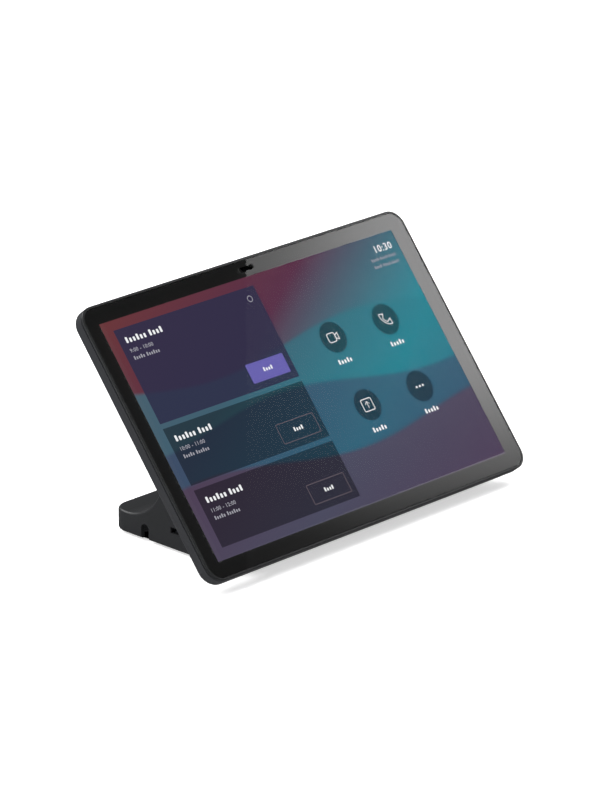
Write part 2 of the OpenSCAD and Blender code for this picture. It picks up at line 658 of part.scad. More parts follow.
module bumper_pads() color("#1a1a1a") in_head() for (s = [-1, 1])
    translate([s * bumper_x, bumper_y, -neck_d - bumper_sink])
        cylinder(h = bumper_sink + neck_gap - 0.3, r = bumper_r);

module floor_screws() color("#8a8c8e") in_base() for (x = [-1, 1], y = post_y)
    translate([x * post_x, y, 0.1]) rotate([180, 0, 0]) screw(1.0, 7, 2.0, 0.8);

module io_board_screws() color("#c9cacc") in_base() for (x = [-1, 1], y = [-1, 1])
    translate([x * io_hole_x, io_y + y * io_hole_y, io_top + 0.7]) screw(0.8, 3, 1.6, 0.7);

module reset_switch() color("#1f1f20") in_base() translate([reset_x, reset_y, io_bottom - 1]) difference() {
    translate([0, 0, 0.5]) cube([4.2, 3.2, 1], center = true);
    translate([0, 0, -1]) cylinder(h = 1.8, r = 0.85);
}

module reset_button() color("#e8e6df") in_base()
    translate([reset_x, reset_y, io_bottom - 1.6]) cylinder(h = 1.1, r = 0.75);

// Closed outline of a strip of even thickness along a path of points
function normal(a, b) = let (d = b - a, l = norm(d)) [-d[1] / l, d[0] / l];
function side_of(path, t) = [for (i = [0 : len(path) - 1])
    let (a = normal(path[max(i - 1, 0)], path[max(i, 1)]), b = normal(path[min(i, len(path) - 2)], path[min(i + 1, len(path) - 1)]),
        m = a + b, k = 1 / (m * a)) path[i] + t * m * k];
function strip(path, t) = concat(side_of(path, t / 2),
    let (low = side_of(path, -t / 2)) [for (i = [len(low) - 1 : -1 : 0]) low[i]]);

// Flat cable from the main board, through the neck, to the board in the base
module display_ribbon() color("#d8dadc") in_base() side_extrude(ribbon_w) polygon(strip([
    yz(connector_low - 0.05, -board_front + 0.5), yz(-25, -board_front + 0.5), yz(-32, -board_front), yz(ribbon_y + 3.4, -board_front - 0.3),
    yz(ribbon_y + 1.2, -board_back - 0.3), yz(ribbon_y, -head_depth + 0.4), yz(ribbon_y, -neck_d - 1), yz(ribbon_y - 0.6, -neck_d - 2.4),
    [front_y + 6.6, 12], [front_y + 7.2, io_top + 1.05 + 1.2], [front_y + 7.2, io_top + 1.05]], ribbon_t));

cover_glass();
ink_border();
touch_film();
lcd_cell();
diffuser_films();
light_guide();
led_strip();
backlight_tray();
glass_adhesive();
front_frame();
rear_housing();
sensor_window();
sensor_board();
heat_spreader();
thermal_pad();
main_board();
soc_shield();
board_parts();
lcd_flex();
wifi_antennas();
board_screws();
hinge_leaf_head_left();
hinge_leaf_head_right();
hinge_screws_head();
base_shell();
base_floor();
chassis_plate();
hinge_leaf_base_left();
hinge_leaf_base_right();
hinge_pin_left();
hinge_pin_right();
friction_washers();
hinge_screws_base();
io_board();
io_parts();
network_jack_shell();
network_jack_insert();
network_contacts();
usb_socket_shell();
usb_socket_tongue();
lock_plate();
rubber_feet();
bumper_pads();
floor_screws();
io_board_screws();
reset_switch();
reset_button();
display_ribbon();
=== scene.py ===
"""Looks for a tabletop touch console: a tilting screen head on a swept wedge base.

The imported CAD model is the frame. This script makes the visible skins, the lit screen, the finishes and the
studio.
"""
import json
import logging
import math
from dataclasses import dataclass
from enum import Enum
from typing import Callable, Iterable, Sequence

import bmesh
import bpy
from mathutils import Matrix, Vector


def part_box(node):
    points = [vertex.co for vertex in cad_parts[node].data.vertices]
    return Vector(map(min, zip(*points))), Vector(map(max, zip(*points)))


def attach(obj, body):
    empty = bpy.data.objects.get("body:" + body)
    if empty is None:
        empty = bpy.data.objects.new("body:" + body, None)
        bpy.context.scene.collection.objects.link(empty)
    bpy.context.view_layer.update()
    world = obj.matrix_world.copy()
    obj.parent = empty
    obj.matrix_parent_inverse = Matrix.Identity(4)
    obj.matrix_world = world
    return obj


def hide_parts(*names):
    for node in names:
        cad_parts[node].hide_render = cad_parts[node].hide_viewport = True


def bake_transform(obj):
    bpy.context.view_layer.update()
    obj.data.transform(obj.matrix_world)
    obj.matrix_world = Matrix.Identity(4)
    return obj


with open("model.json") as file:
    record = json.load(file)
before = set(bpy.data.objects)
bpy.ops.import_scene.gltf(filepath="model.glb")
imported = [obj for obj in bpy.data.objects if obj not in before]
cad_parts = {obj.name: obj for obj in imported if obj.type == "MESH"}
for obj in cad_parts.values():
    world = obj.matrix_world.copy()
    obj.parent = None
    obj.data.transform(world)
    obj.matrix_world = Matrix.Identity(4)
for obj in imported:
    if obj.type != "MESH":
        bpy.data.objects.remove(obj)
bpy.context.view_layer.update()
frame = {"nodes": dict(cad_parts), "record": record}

MM = 0.001
MAP_MM = 100.0  # millimetres to one unit of the screen picture's map
WHITE = (1.0, 1.0, 1.0, 1.0)
Socket = bpy.types.NodeSocket
log = logging.getLogger("console")


# ---------------------------------------------------------------- small helpers

def linear(hex_colour: str) -> tuple[float, float, float, float]:
    """Turn an sRGB hex colour into linear RGBA.

    Args:
        hex_colour: Colour such as "#2c2d2f".

    Returns:
        Linear red, green, blue and an alpha of 1.
    """
    h = hex_colour.lstrip("#")
    parts = [int(h[i:i + 2], 16) / 255 for i in (0, 2, 4)]
    return (*[c / 12.92 if c <= 0.04045 else ((c + 0.055) / 1.055) ** 2.4 for c in parts], 1.0)


def add(tree: bpy.types.NodeTree, kind: str, links: dict | None = None, values: dict | None = None,
        **settings: object) -> bpy.types.Node:
    """Add one node with its settings, input values and links.

    Args:
        tree: Node tree to add to.
        kind: Blender's identifier of the node type.
        links: Input name or index to the output socket that feeds it.
        values: Input name or index to the constant it holds.
        settings: Properties of the node itself.

    Returns:
        The new node.
    """
    node = tree.nodes.new(kind)
    for key, value in settings.items():
        setattr(node, key, value)
    for key, value in (values or {}).items():
        node.inputs[key].default_value = value
    for key, source in (links or {}).items():
        tree.links.new(source, node.inputs[key])
    return node


def fill_ramp(node: bpy.types.Node, stops: Sequence[tuple[float, str]]) -> None:
    """Set a colour ramp's stops.

    Args:
        node: The colour ramp node.
        stops: (position, hex colour) pairs in order.
    """
    ramp = node.color_ramp
    while len(ramp.elements) > 1:
        ramp.elements.remove(ramp.elements[-1])
    ramp.elements[0].position, ramp.elements[0].color = stops[0][0], linear(stops[0][1])
    for place, colour in stops[1:]:
        ramp.elements.new(place).color = linear(colour)


def new_material(name: str) -> tuple[bpy.types.Material, bpy.types.NodeTree, bpy.types.Node]:
    """Make an empty node material.

    Args:
        name: Name of the material.

    Returns:
        The material, its tree and its output node.
    """
    material = bpy.data.materials.new(name)
    material.use_nodes = True
    tree = material.node_tree
    tree.nodes.clear()
    return material, tree, add(tree, "ShaderNodeOutputMaterial")


def mottled(tree: bpy.types.NodeTree, size_mm: float, first: str, second: str) -> Socket:
    """A colour that wanders between two others.

    Args:
        tree: Tree of the material.
        size_mm: Size of the patches.
        first: Hex colour of one kind of patch.
        second: Hex colour of the other.

    Returns:
        The colour's output.
    """
    place = add(tree, "ShaderNodeTexCoord").outputs["Object"]
    patch = add(tree, "ShaderNodeTexNoise", {"Vector": place}, {"Scale": 1 / (size_mm * MM), "Detail": 2.0})
    return add(tree, "ShaderNodeMix", {0: patch.outputs["Fac"]}, {6: linear(first), 7: linear(second)},
               data_type="RGBA").outputs[2]


# ---------------------------------------------------------------- finishes

class Pattern(Enum):
    """How a surface was made, which sets its fine relief."""

    MOULDED = "moulded"
    BRUSHED = "brushed"
    PLATED = "plated"
    BOARD = "board"
    FILM = "film"


@dataclass(frozen=True)
class Finish:
    """One real material with its surface treatment.

    Attributes:
        name: Material and process.
        colour: sRGB hex of the surface.
        second: sRGB hex of its darker or lighter patches.
        roughness: Mean roughness.
        spread: How far the roughness wanders.
        metallic: 1 for metal.
        grain_mm: Size of the relief's grains.
        relief_mm: Height of the relief.
        pattern: How it was made.
        ior: Index of refraction of a non-metal.
    """

    name: str
    colour: str
    second: str
    roughness: float
    spread: float = 0.06
    metallic: float = 0.0
    grain_mm: float = 0.4
    relief_mm: float = 0.01
    pattern: Pattern = Pattern.MOULDED
    ior: float = 1.5

    def material(self) -> bpy.types.Material:
        """Build the node material the first time it is asked for.

        Returns:
            The material.
        """
        if self.name in bpy.data.materials:
            return bpy.data.materials[self.name]
        material, tree, out = new_material(self.name)
        place = add(tree, "ShaderNodeTexCoord").outputs["Object"]
        if self.pattern is Pattern.BRUSHED:
            # Brush lines are long along X and fine across it.
            place = add(tree, "ShaderNodeMapping", {"Vector": place}, {"Scale": (0.06, 1.0, 1.0)}).outputs[0]
        grain = add(tree, "ShaderNodeTexNoise", {"Vector": place},
                    {"Scale": 1 / (self.grain_mm * MM), "Detail": 3.0, "Roughness": 0.6})
        patch = add(tree, "ShaderNodeTexNoise", {"Vector": place}, {"Scale": 1 / (14 * MM), "Detail": 2.0})
        blend = patch.outputs["Fac"]
        if self.pattern is Pattern.BOARD:
            # Copper under the solder mask reads as slightly paler patches between cells of 2.2 mm.
            lanes = add(tree, "ShaderNodeTexVoronoi", {"Vector": place}, {"Scale": 1 / (2.2 * MM)},
                        distance="MANHATTAN")
            blend = add(tree, "ShaderNodeMath", {0: lanes.outputs["Distance"]}, {1: 0.45},
                        operation="GREATER_THAN").outputs[0]
        colour = add(tree, "ShaderNodeMix", {0: blend}, {6: linear(self.colour), 7: linear(self.second)},
                     data_type="RGBA")
        rough = add(tree, "ShaderNodeMapRange", {"Value": grain.outputs["Fac"]},
                    {"From Min": 0.3, "From Max": 0.7, "To Min": self.roughness - self.spread,
                     "To Max": self.roughness + self.spread})
        bump = add(tree, "ShaderNodeBump", {"Height": grain.outputs["Fac"]},
                   {"Strength": 1.0, "Distance": self.relief_mm * MM})
        surface = add(tree, "ShaderNodeBsdfPrincipled",
                      {"Base Color": colour.outputs[2], "Roughness": rough.outputs[0],
                       "Normal": bump.outputs[0]},
                      {"Metallic": self.metallic})
        if not self.metallic:
            surface.inputs["IOR"].default_value = self.ior
        tree.links.new(surface.outputs[0], out.inputs[0])
        return material


# PC/ABS moulded against a spark-eroded tool: a satin skin whose fine pits scatter highlights. The pits are
# drawn at 0.35 mm, which is coarse for such a skin, so that they show.
HOUSING = Finish("pc_abs_spark_textured_graphite", "#2c2d30", "#28292c", 0.42, 0.05, grain_mm=0.35,
                 relief_mm=0.012, ior=1.42)
BASE_SKIN = Finish("pc_abs_spark_textured_black", "#242527", "#212224", 0.42, 0.05, grain_mm=0.35,
                   relief_mm=0.012, ior=1.38)
# The frame is the same resin with a finer polish, so that its rim catches a thin bright line.
RIM = Finish("pc_abs_semi_gloss_black", "#1c1d1f", "#191a1b", 0.30, 0.04, grain_mm=0.25, relief_mm=0.004)
# Plain moulded ABS: duller than the skins above, with a coarser bite.
FLOOR_SKIN = Finish("abs_moulded_black", "#222325", "#1e1f20", 0.55, 0.06, grain_mm=0.5, relief_mm=0.02)
# Screen-printed ceramic ink behind glass: dead black, with almost no relief.
INK = Finish("screen_printed_ink_black", "#060607", "#070708", 0.60, 0.04, grain_mm=0.2, relief_mm=0.001)
# Bonded to the glass with index-matched adhesive, so it has no mirror image of its own.
SENSOR = Finish("infrared_polycarbonate_bonded", "#010102", "#020203", 0.3, 0.05, grain_mm=0.6,
                relief_mm=0.0005, ior=1.03)
# Rubber and foam drink the light: matt, with a soft crumb.
RUBBER = Finish("silicone_rubber_black", "#1b1b1c", "#222223", 0.72, 0.08, grain_mm=0.6, relief_mm=0.03)
FOAM_TAPE = Finish("foam_tape_black", "#1a1a1b", "#111112", 0.85, 0.05, grain_mm=0.3, relief_mm=0.05)
# Metals and a graphite foil, with soft highlights. Brushed and rolled ones have grain drawn out one way.
ZINC_STEEL = Finish("zinc_plated_steel_brushed", "#a9adb0", "#9b9fa2", 0.34, 0.08, 1.0, 0.3, 0.004,
                    Pattern.BRUSHED)
NICKEL = Finish("nickel_plated_steel", "#c3c4c4", "#b5b5b4", 0.24, 0.06, 1.0, 0.5, 0.002, Pattern.PLATED)
BLACK_ZINC = Finish("black_zinc_steel", "#4b4c4e", "#404143", 0.36, 0.08, 1.0, 0.4, 0.004, Pattern.PLATED)
BRONZE = Finish("phosphor_bronze_rolled", "#c69a5a", "#b0854a", 0.32, 0.06, 1.0, 0.4, 0.002, Pattern.BRUSHED)
GOLD = Finish("gold_plated_bronze", "#e6bd62", "#d9ab4c", 0.22, 0.05, 1.0, 0.4, 0.001, Pattern.PLATED)
GRAPHITE = Finish("graphite_foil", "#5a5c5f", "#4c4e50", 0.45, 0.1, 0.6, 0.8, 0.01, Pattern.PLATED)
# Glass-fibre board under a green solder mask, with a faint pattern of tracks.
BOARD = Finish("fr4_board_green_mask", "#155534", "#1d6a42", 0.38, 0.06, grain_mm=0.6, relief_mm=0.004,
               pattern=Pattern.BOARD)
# Chips have the fine matt grain of moulded epoxy.
CHIPS = Finish("epoxy_moulded_chip", "#2a2b2d", "#242527", 0.58, 0.06, grain_mm=0.2, relief_mm=0.008)
# Two films and a moulded clear acrylic: smooth, with hardly any relief.
POLYIMIDE = Finish("polyimide_flex_amber", "#b06a1e", "#9c5a16", 0.30, 0.05, grain_mm=0.8, relief_mm=0.002,
                   pattern=Pattern.FILM)
PET_WHITE = Finish("pet_film_white", "#d8dadb", "#cdd0d2", 0.42, 0.05, grain_mm=0.8, relief_mm=0.002,
                   pattern=Pattern.FILM)
ACRYLIC = Finish("acrylic_clear_moulded", "#dfe8ea", "#d5e0e4", 0.12, 0.03, grain_mm=1.0, relief_mm=0.001,
                 pattern=Pattern.FILM)
# Silicones and acetal: soft-looking, nearly even surfaces.
PHOSPHOR = Finish("led_phosphor_silicone", "#e7dc8e", "#dfd27c", 0.40, 0.05, grain_mm=0.4, relief_mm=0.004)
GAP_PAD = Finish("silicone_gap_pad_blue", "#8b9db3", "#7d90a8", 0.78, 0.05, grain_mm=0.5, relief_mm=0.02)
IVORY = Finish("acetal_moulded_ivory", "#e6e3d9", "#dedacd", 0.40, 0.05, grain_mm=0.4, relief_mm=0.004)

SLOT_FINISH: dict[str, Finish] = {
    "black_print": INK, "diffuser": PET_WHITE, "acrylic": ACRYLIC, "led": PHOSPHOR, "steel_tray": ZINC_STEEL,
    "adhesive": FOAM_TAPE, "frame_black": RIM, "housing_grey": HOUSING, "base_grey": BASE_SKIN,
    "floor_black": FLOOR_SKIN, "lens_black": SENSOR, "board_green": BOARD, "graphite": GRAPHITE,
    "pad_blue": GAP_PAD, "tin_can": NICKEL, "chip_black": CHIPS, "flex_amber": POLYIMIDE,
    "antenna": POLYIMIDE, "screw_steel": NICKEL, "hinge_steel": ZINC_STEEL, "bronze": BRONZE,
    "chassis_zinc": ZINC_STEEL, "socket_shield": NICKEL, "contact_gold": GOLD, "rubber_black": RUBBER,
    "dark_screw": BLACK_ZINC, "button_white": IVORY, "ribbon_white": PET_WHITE, "film": PET_WHITE,
    "panel": PET_WHITE, "cover_glass": ACRYLIC,
}


@dataclass(frozen=True)
class CoverGlass:
    """Chemically strengthened glass with a polished face: it mirrors a few percent of the room.

    Attributes:
        ior: Index of refraction.
        roughness: Least roughness of the polish.
        coated: Share of the mirror image that is left under the coating.
    """

    ior: float = 1.5
    roughness: float = 0.004
    coated: float = 0.05

    def front(self) -> bpy.types.Material:
        """The outer face: clear, with the mirror image of the studio on it.

        Returns:
            The material.
        """
        material, tree, out = new_material("aluminosilicate_glass_polished")
        place = add(tree, "ShaderNodeTexCoord").outputs["Object"]
        # A wiped film of handling marks, some 30 mm across, changes the gloss very slightly.
        marks = add(tree, "ShaderNodeTexNoise", {"Vector": place}, {"Scale": 1 / (30 * MM), "Detail": 4.0})
        gloss = add(tree, "ShaderNodeMapRange", {"Value": marks.outputs["Fac"]},
                    {"To Min": self.roughness, "To Max": self.roughness * 2.2})
        mirror = add(tree, "ShaderNodeBsdfGlossy", {"Roughness": gloss.outputs[0]}, {"Color": WHITE})
        clear = add(tree, "ShaderNodeBsdfTransparent", values={"Color": WHITE})
        # An anti-reflection coating over the lit window and the sensor's pill takes most of the image there.
        mask = add(tree, "ShaderNodeAttribute", attribute_name="Coating", attribute_type="GEOMETRY")
        kept = add(tree, "ShaderNodeMapRange", {"Value": mask.outputs["Fac"]},
                   {"To Min": 1.0, "To Max": self.coated})
        bounce = add(tree, "ShaderNodeFresnel", values={"IOR": self.ior})
        share = add(tree, "ShaderNodeMath", {0: bounce.outputs[0], 1: kept.outputs[0]}, operation="MULTIPLY")
        mix = add(tree, "ShaderNodeMixShader",
                  {0: share.outputs[0], 1: clear.outputs[0], 2: mirror.outputs[0]})
        tree.links.new(mix.outputs[0], out.inputs[0])
        return material

    def body(self) -> bpy.types.Material:
        """The edges and the bonded inner face, which only let light through.

        Returns:
            The material.
        """
        material, tree, out = new_material("aluminosilicate_glass_bonded_face")
        clear = add(tree, "ShaderNodeBsdfTransparent", {"Color": mottled(tree, 40, "#fdfefd", "#fafcfb")})
        tree.links.new(clear.outputs[0], out.inputs[0])
        return material


@dataclass(frozen=True)
class LitInk:
    """A lit part of the screen picture: the light of many cells of one colour.

    Attributes:
        name: Name of the material.
        colour: sRGB hex of the light.
        strength: Mean strength.
    """

    name: str
    colour: str
    strength: float = 1.0

    def material(self) -> bpy.types.Material:
        """Emission that wanders by a few percent, as a backlight does.

        Returns:
            The material.
        """
        material, tree, out = new_material(self.name)
        place = add(tree, "ShaderNodeTexCoord").outputs["Object"]
        wander = add(tree, "ShaderNodeTexNoise", {"Vector": place}, {"Scale": 1 / (25 * MM)})
        level = add(tree, "ShaderNodeMapRange", {"Value": wander.outputs["Fac"]},
                    {"To Min": self.strength * 0.97, "To Max": self.strength * 1.03})
        glow = add(tree, "ShaderNodeEmission", {"Strength": level.outputs[0]}, {"Color": linear(self.colour)})
        tree.links.new(glow.outputs[0], out.inputs[0])
        return material


# ---------------------------------------------------------------- frames of reference

@dataclass
class HeadFrame:
    """Head coordinates in millimetres from the middle of the glass: across, up the screen and out of it."""

    tilt: float = math.radians(51.4)
    glass_thickness: float = 1.1

    def __post_init__(self) -> None:
        """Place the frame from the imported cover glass."""
        low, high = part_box("cover_glass")
        normal = Vector((0, -math.sin(self.tilt), math.cos(self.tilt)))
        self.origin = (low + high) / 2 + normal * self.glass_thickness / 2 * MM
        turn = Matrix.Rotation(self.tilt, 4, "X")
        self.matrix = Matrix.Translation(self.origin) @ turn @ Matrix.Scale(MM, 4)
        self.normal = normal


@dataclass
class BaseFrame:
    """Base coordinates in millimetres: x across, y from the screen's middle, z from the base's underside."""

    head: HeadFrame

    def __post_init__(self) -> None:
        """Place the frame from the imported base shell."""
        low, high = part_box("base_shell")
        self.matrix = Matrix.Translation((0, self.head.origin.y, low.z)) @ Matrix.Scale(MM, 4)
        self.front_y, self.rear_y = (low.y - self.head.origin.y) / MM, (high.y - self.head.origin.y) / MM
        self.width = (high.x - low.x) / MM
        self.screen_z = (self.head.origin.z - low.z) / MM

    def at_head(self, v: float, n: float) -> tuple[float, float]:
        """The (y, z) of the base frame at a point of the head frame."""
        s, c = math.sin(self.head.tilt), math.cos(self.head.tilt)
        return v * c - n * s, self.screen_z + v * s + n * c


# ---------------------------------------------------------------- mesh making

Point = tuple[float, float]
Place = Callable[[float, float, float], Vector]
FlatPlace = Callable[[float, float], Vector]


def rounded_outline(width: float, height: float, radius: float, steps: int = 14,
                    centre: Point = (0, 0)) -> list[Point]:
    """Points round a rounded rectangle, anticlockwise from the right side's lower end.

    Args:
        width: Overall width.
        height: Overall height.
        radius: Corner radius.
        steps: Segments in each corner.
        centre: Middle of the rectangle.

    Returns:
        The outline's points.
    """
    points = []
    for turn, (sx, sy) in enumerate(((1, 1), (-1, 1), (-1, -1), (1, -1))):
        for i in range(steps + 1):
            angle = math.pi / 2 * (turn + i / steps)
            points.append((centre[0] + sx * (width / 2 - radius) + radius * math.cos(angle),
                           centre[1] + sy * (height / 2 - radius) + radius * math.sin(angle)))
    return points


def arc(centre: Point, radius: float, start: float, end: float, steps: int) -> list[Point]:
    """Points along an arc.

    Args:
        centre: Middle of the arc.
        radius: Its radius.
        start: First angle in degrees.
        end: Last angle in degrees.
        steps: Segments between them.

    Returns:
        The points.
    """
    angles = [math.radians(start + (end - start) * i / steps) for i in range(steps + 1)]
    return [(centre[0] + radius * math.cos(a), centre[1] + radius * math.sin(a)) for a in angles]


def spline(rough: Sequence[Vector], steps: int) -> list[Vector]:
    """A smooth line through points.

    Args:
        rough: The points.
        steps: Segments between two of them.

    Returns:
        Points along the line.
    """
    points = []
    for i in range(len(rough) - 1):
        p0, p1, p2, p3 = rough[max(i - 1, 0)], rough[i], rough[i + 1], rough[min(i + 2, len(rough) - 1)]
        slope, bend, twist = p2 - p0, 2 * p0 - 5 * p1 + 4 * p2 - p3, 3 * p1 - p0 - 3 * p2 + p3
        for k in range(steps):
            t = k / steps
            points.append(0.5 * (2 * p1 + slope * t + bend * t * t + twist * t ** 3))
    return points + [rough[-1]]


def upright(x: float, y: float, z: float) -> Vector:
    """A plan's (x, y), raised to a height."""
    return Vector((x, y, z))


def sideways(y: float, z: float, x: float) -> Vector:
    """A side view's (y, z), set at a place across."""
    return Vector((x, y, z))


def facing(x: float, z: float, y: float) -> Vector:
    """A front view's (x, z), set at a depth."""
    return Vector((x, y, z))


def behind(u: float, v: float, depth: float) -> Vector:
    """A point of the screen's plane, set back by a depth."""
    return Vector((u, v, -depth))


def loft(rings: Sequence[Sequence[Vector]], cap_start: bool = True, cap_end: bool = True,
         closed: bool = False) -> bmesh.types.BMesh:
    """Skin rings of equal length into a mesh whose faces point outwards.

    Args:
        rings: Rings of points, in order.
        cap_start: Close the first ring with a face.
        cap_end: Close the last ring with a face.
        closed: Join the last ring back to the first.

    Returns:
        The mesh.
    """
    bm = bmesh.new()
    made = [[bm.verts.new(p) for p in ring] for ring in rings]
    count = len(made[0])
    pairs = list(zip(made, made[1:])) + ([(made[-1], made[0])] if closed else [])
    for a, b in pairs:
        for i in range(count):
            j = (i + 1) % count
            bm.faces.new((a[i], a[j], b[j], b[i]))
    if cap_start and not closed:
        bm.faces.new(list(reversed(made[0])))
    if cap_end and not closed:
        bm.faces.new(made[-1])
    bmesh.ops.remove_doubles(bm, verts=bm.verts, dist=1e-5)
    bmesh.ops.recalc_face_normals(bm, faces=bm.faces)
    return bm


def prism(outline: Sequence[Point], place: Place, low: float, high: float) -> bmesh.types.BMesh:
    """Extrude an outline between two depths; place turns (u, v, depth) into a point."""
    return loft([[place(u, v, d) for u, v in outline] for d in (low, high)])


def turned(profile: Sequence[Point], sides: int) -> bmesh.types.BMesh:
    """Turn a profile round the Z axis.

    Args:
        profile: (radius, height) pairs from one end to the other.
        sides: Faces round the axis.

    Returns:
        The closed mesh.
    """
    angles = [math.tau * i / sides for i in range(sides)]
    return loft([[Vector((r * math.cos(a), r * math.sin(a), h)) for a in angles] for r, h in profile])


def as_object(name: str, bm: bmesh.types.BMesh, matrix: Matrix,
              smooth_angle: float = 28.0) -> bpy.types.Object:
    """Turn a mesh in a millimetre frame into an object at the origin.

    Args:
        name: Name of the object.
        bm: The mesh, which is freed.
        matrix: Frame of its coordinates.
        smooth_angle: Edges sharper than this, in degrees, stay sharp.

    Returns:
        The new object.
    """
    bm.transform(matrix)
    mesh = bpy.data.meshes.new(name)
    bm.to_mesh(mesh)
    bm.free()
    mesh.shade_smooth()
    mesh.set_sharp_from_angle(angle=math.radians(smooth_angle))
    obj = bpy.data.objects.new(name, mesh)
    bpy.context.scene.collection.objects.link(obj)
    return obj


def settle(obj: bpy.types.Object) -> bpy.types.Object:
    """Turn an object's modifiers into plain mesh.

    Args:
        obj: The object.

    Returns:
        The same object.
    """
    graph = bpy.context.evaluated_depsgraph_get()
    mesh = bpy.data.meshes.new_from_object(obj.evaluated_get(graph), preserve_all_data_layers=True,
                                           depsgraph=graph)
    obj.modifiers.clear()
    old, obj.data = obj.data, mesh
    name = old.name
    bpy.data.meshes.remove(old)
    mesh.name = name
    return obj


def cutter(outline: Sequence[Point], place: Place, low: float, high: float,
           matrix: Matrix) -> bpy.types.Object:
    """A solid to cut with: an outline extruded between two depths of a frame."""
    return as_object("cut", prism(outline, place, low, high), matrix)


def carve(obj: bpy.types.Object, tools: Iterable[bpy.types.Object],
          operation: str = "DIFFERENCE") -> bpy.types.Object:
    """Cut, keep or join an object by others, which are then removed.

    Args:
        obj: Object to change.
        tools: Objects to cut by.
        operation: DIFFERENCE, INTERSECT or UNION.

    Returns:
        The changed object.
    """
    tools = list(tools)
    for tool in tools:
        step = obj.modifiers.new("carve", "BOOLEAN")
        step.operation, step.solver, step.object = operation, "EXACT", tool
    settle(obj)
    for tool in tools:
        bpy.data.objects.remove(tool)
    return obj


def soften(obj: bpy.types.Object, width_mm: float, segments: int) -> bpy.types.Object:
    """Round an object's sharp edges.

    Args:
        obj: The object.
        width_mm: Width of the rounding.
        segments: Faces across it.

    Returns:
        The same object.
    """
    step = obj.modifiers.new("round", "BEVEL")
    step.width, step.segments, step.limit_method = width_mm * MM, segments, "ANGLE"
    step.angle_limit, step.use_clamp_overlap = math.radians(30), True
    step.miter_outer = "MITER_ARC"
    return settle(obj)


def even_normals(obj: bpy.types.Object) -> bpy.types.Object:
    """Let large flat faces keep flat shading next to their rounded edges.

    Args:
        obj: The object.

    Returns:
        The same object.
    """
    obj.data.shade_smooth()
    obj.data.set_sharp_from_angle(angle=math.radians(35))
    step = obj.modifiers.new("normals", "WEIGHTED_NORMAL")
    step.keep_sharp, step.weight = True, 80
    return settle(obj)


def join(name: str, parts: Sequence[bpy.types.Object]) -> bpy.types.Object:
    """Join objects at the origin into one, by their meshes.

    Args:
        name: Name of the new object.
        parts: The objects, which are removed.

    Returns:
        The new object.
    """
    bm = bmesh.new()
    for part in parts:
        bm.from_mesh(part.data)
    mesh = bpy.data.meshes.new(name)
    bm.to_mesh(mesh)
    bm.free()
    for material in parts[0].data.materials:
        mesh.materials.append(material)
    for part in parts:
        bpy.data.objects.remove(part)
    obj = bpy.data.objects.new(name, mesh)
    bpy.context.scene.collection.objects.link(obj)
    return obj


def dress(obj: bpy.types.Object, body: str, materials: Sequence[bpy.types.Material],
          nodes: Sequence[str] = ()) -> None:
    """Give a piece its materials, its body and the nodes it stands for.

    Args:
        obj: The finished piece.
        body: CAD body that it moves with.
        materials: Its materials, in slot order; none are changed if it has some.
        nodes: CAD nodes that it replaces.
    """
    if not obj.data.materials:
        for material in materials:
            obj.data.materials.append(material)
    if nodes:
        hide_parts(*nodes)
    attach(obj, body)
    log.info("%s: %d faces, on %s", obj.name, len(obj.data.polygons), body)


def islands(node: str) -> list[tuple[Vector, Vector]]:
    """Boxes of the separate solids in a CAD node.

    Args:
        node: Name of the node.

    Returns:
        The lowest and highest corner of each solid.
    """
    bm = bmesh.new()
    bm.from_mesh(frame["nodes"][node].data)
    bmesh.ops.remove_doubles(bm, verts=bm.verts, dist=1e-7)
    boxes, seen = [], set()
    for start in bm.verts:
        if start in seen:
            continue
        seen.add(start)
        queue, group = [start], []
        while queue:
            vert = queue.pop()
            group.append(vert.co.copy())
            for edge in vert.link_edges:
                other = edge.other_vert(vert)
                if other not in seen:
                    seen.add(other)
                    queue.append(other)
        boxes.append(tuple(Vector([pick(c[i] for c in group) for i in range(3)]) for pick in (min, max)))
    bm.free()
    return boxes


# ---------------------------------------------------------------- the lit screen

@dataclass(frozen=True)
class Card:
    """A panel of the screen picture.

    Attributes:
        top: Millimetres down from the lit area's upper edge.
        bottom: The same, of its lower edge.
        colour: Its tint.
        cover: How much of the backdrop the tint hides.
    """

    top: float
    bottom: float
    colour: str
    cover: float


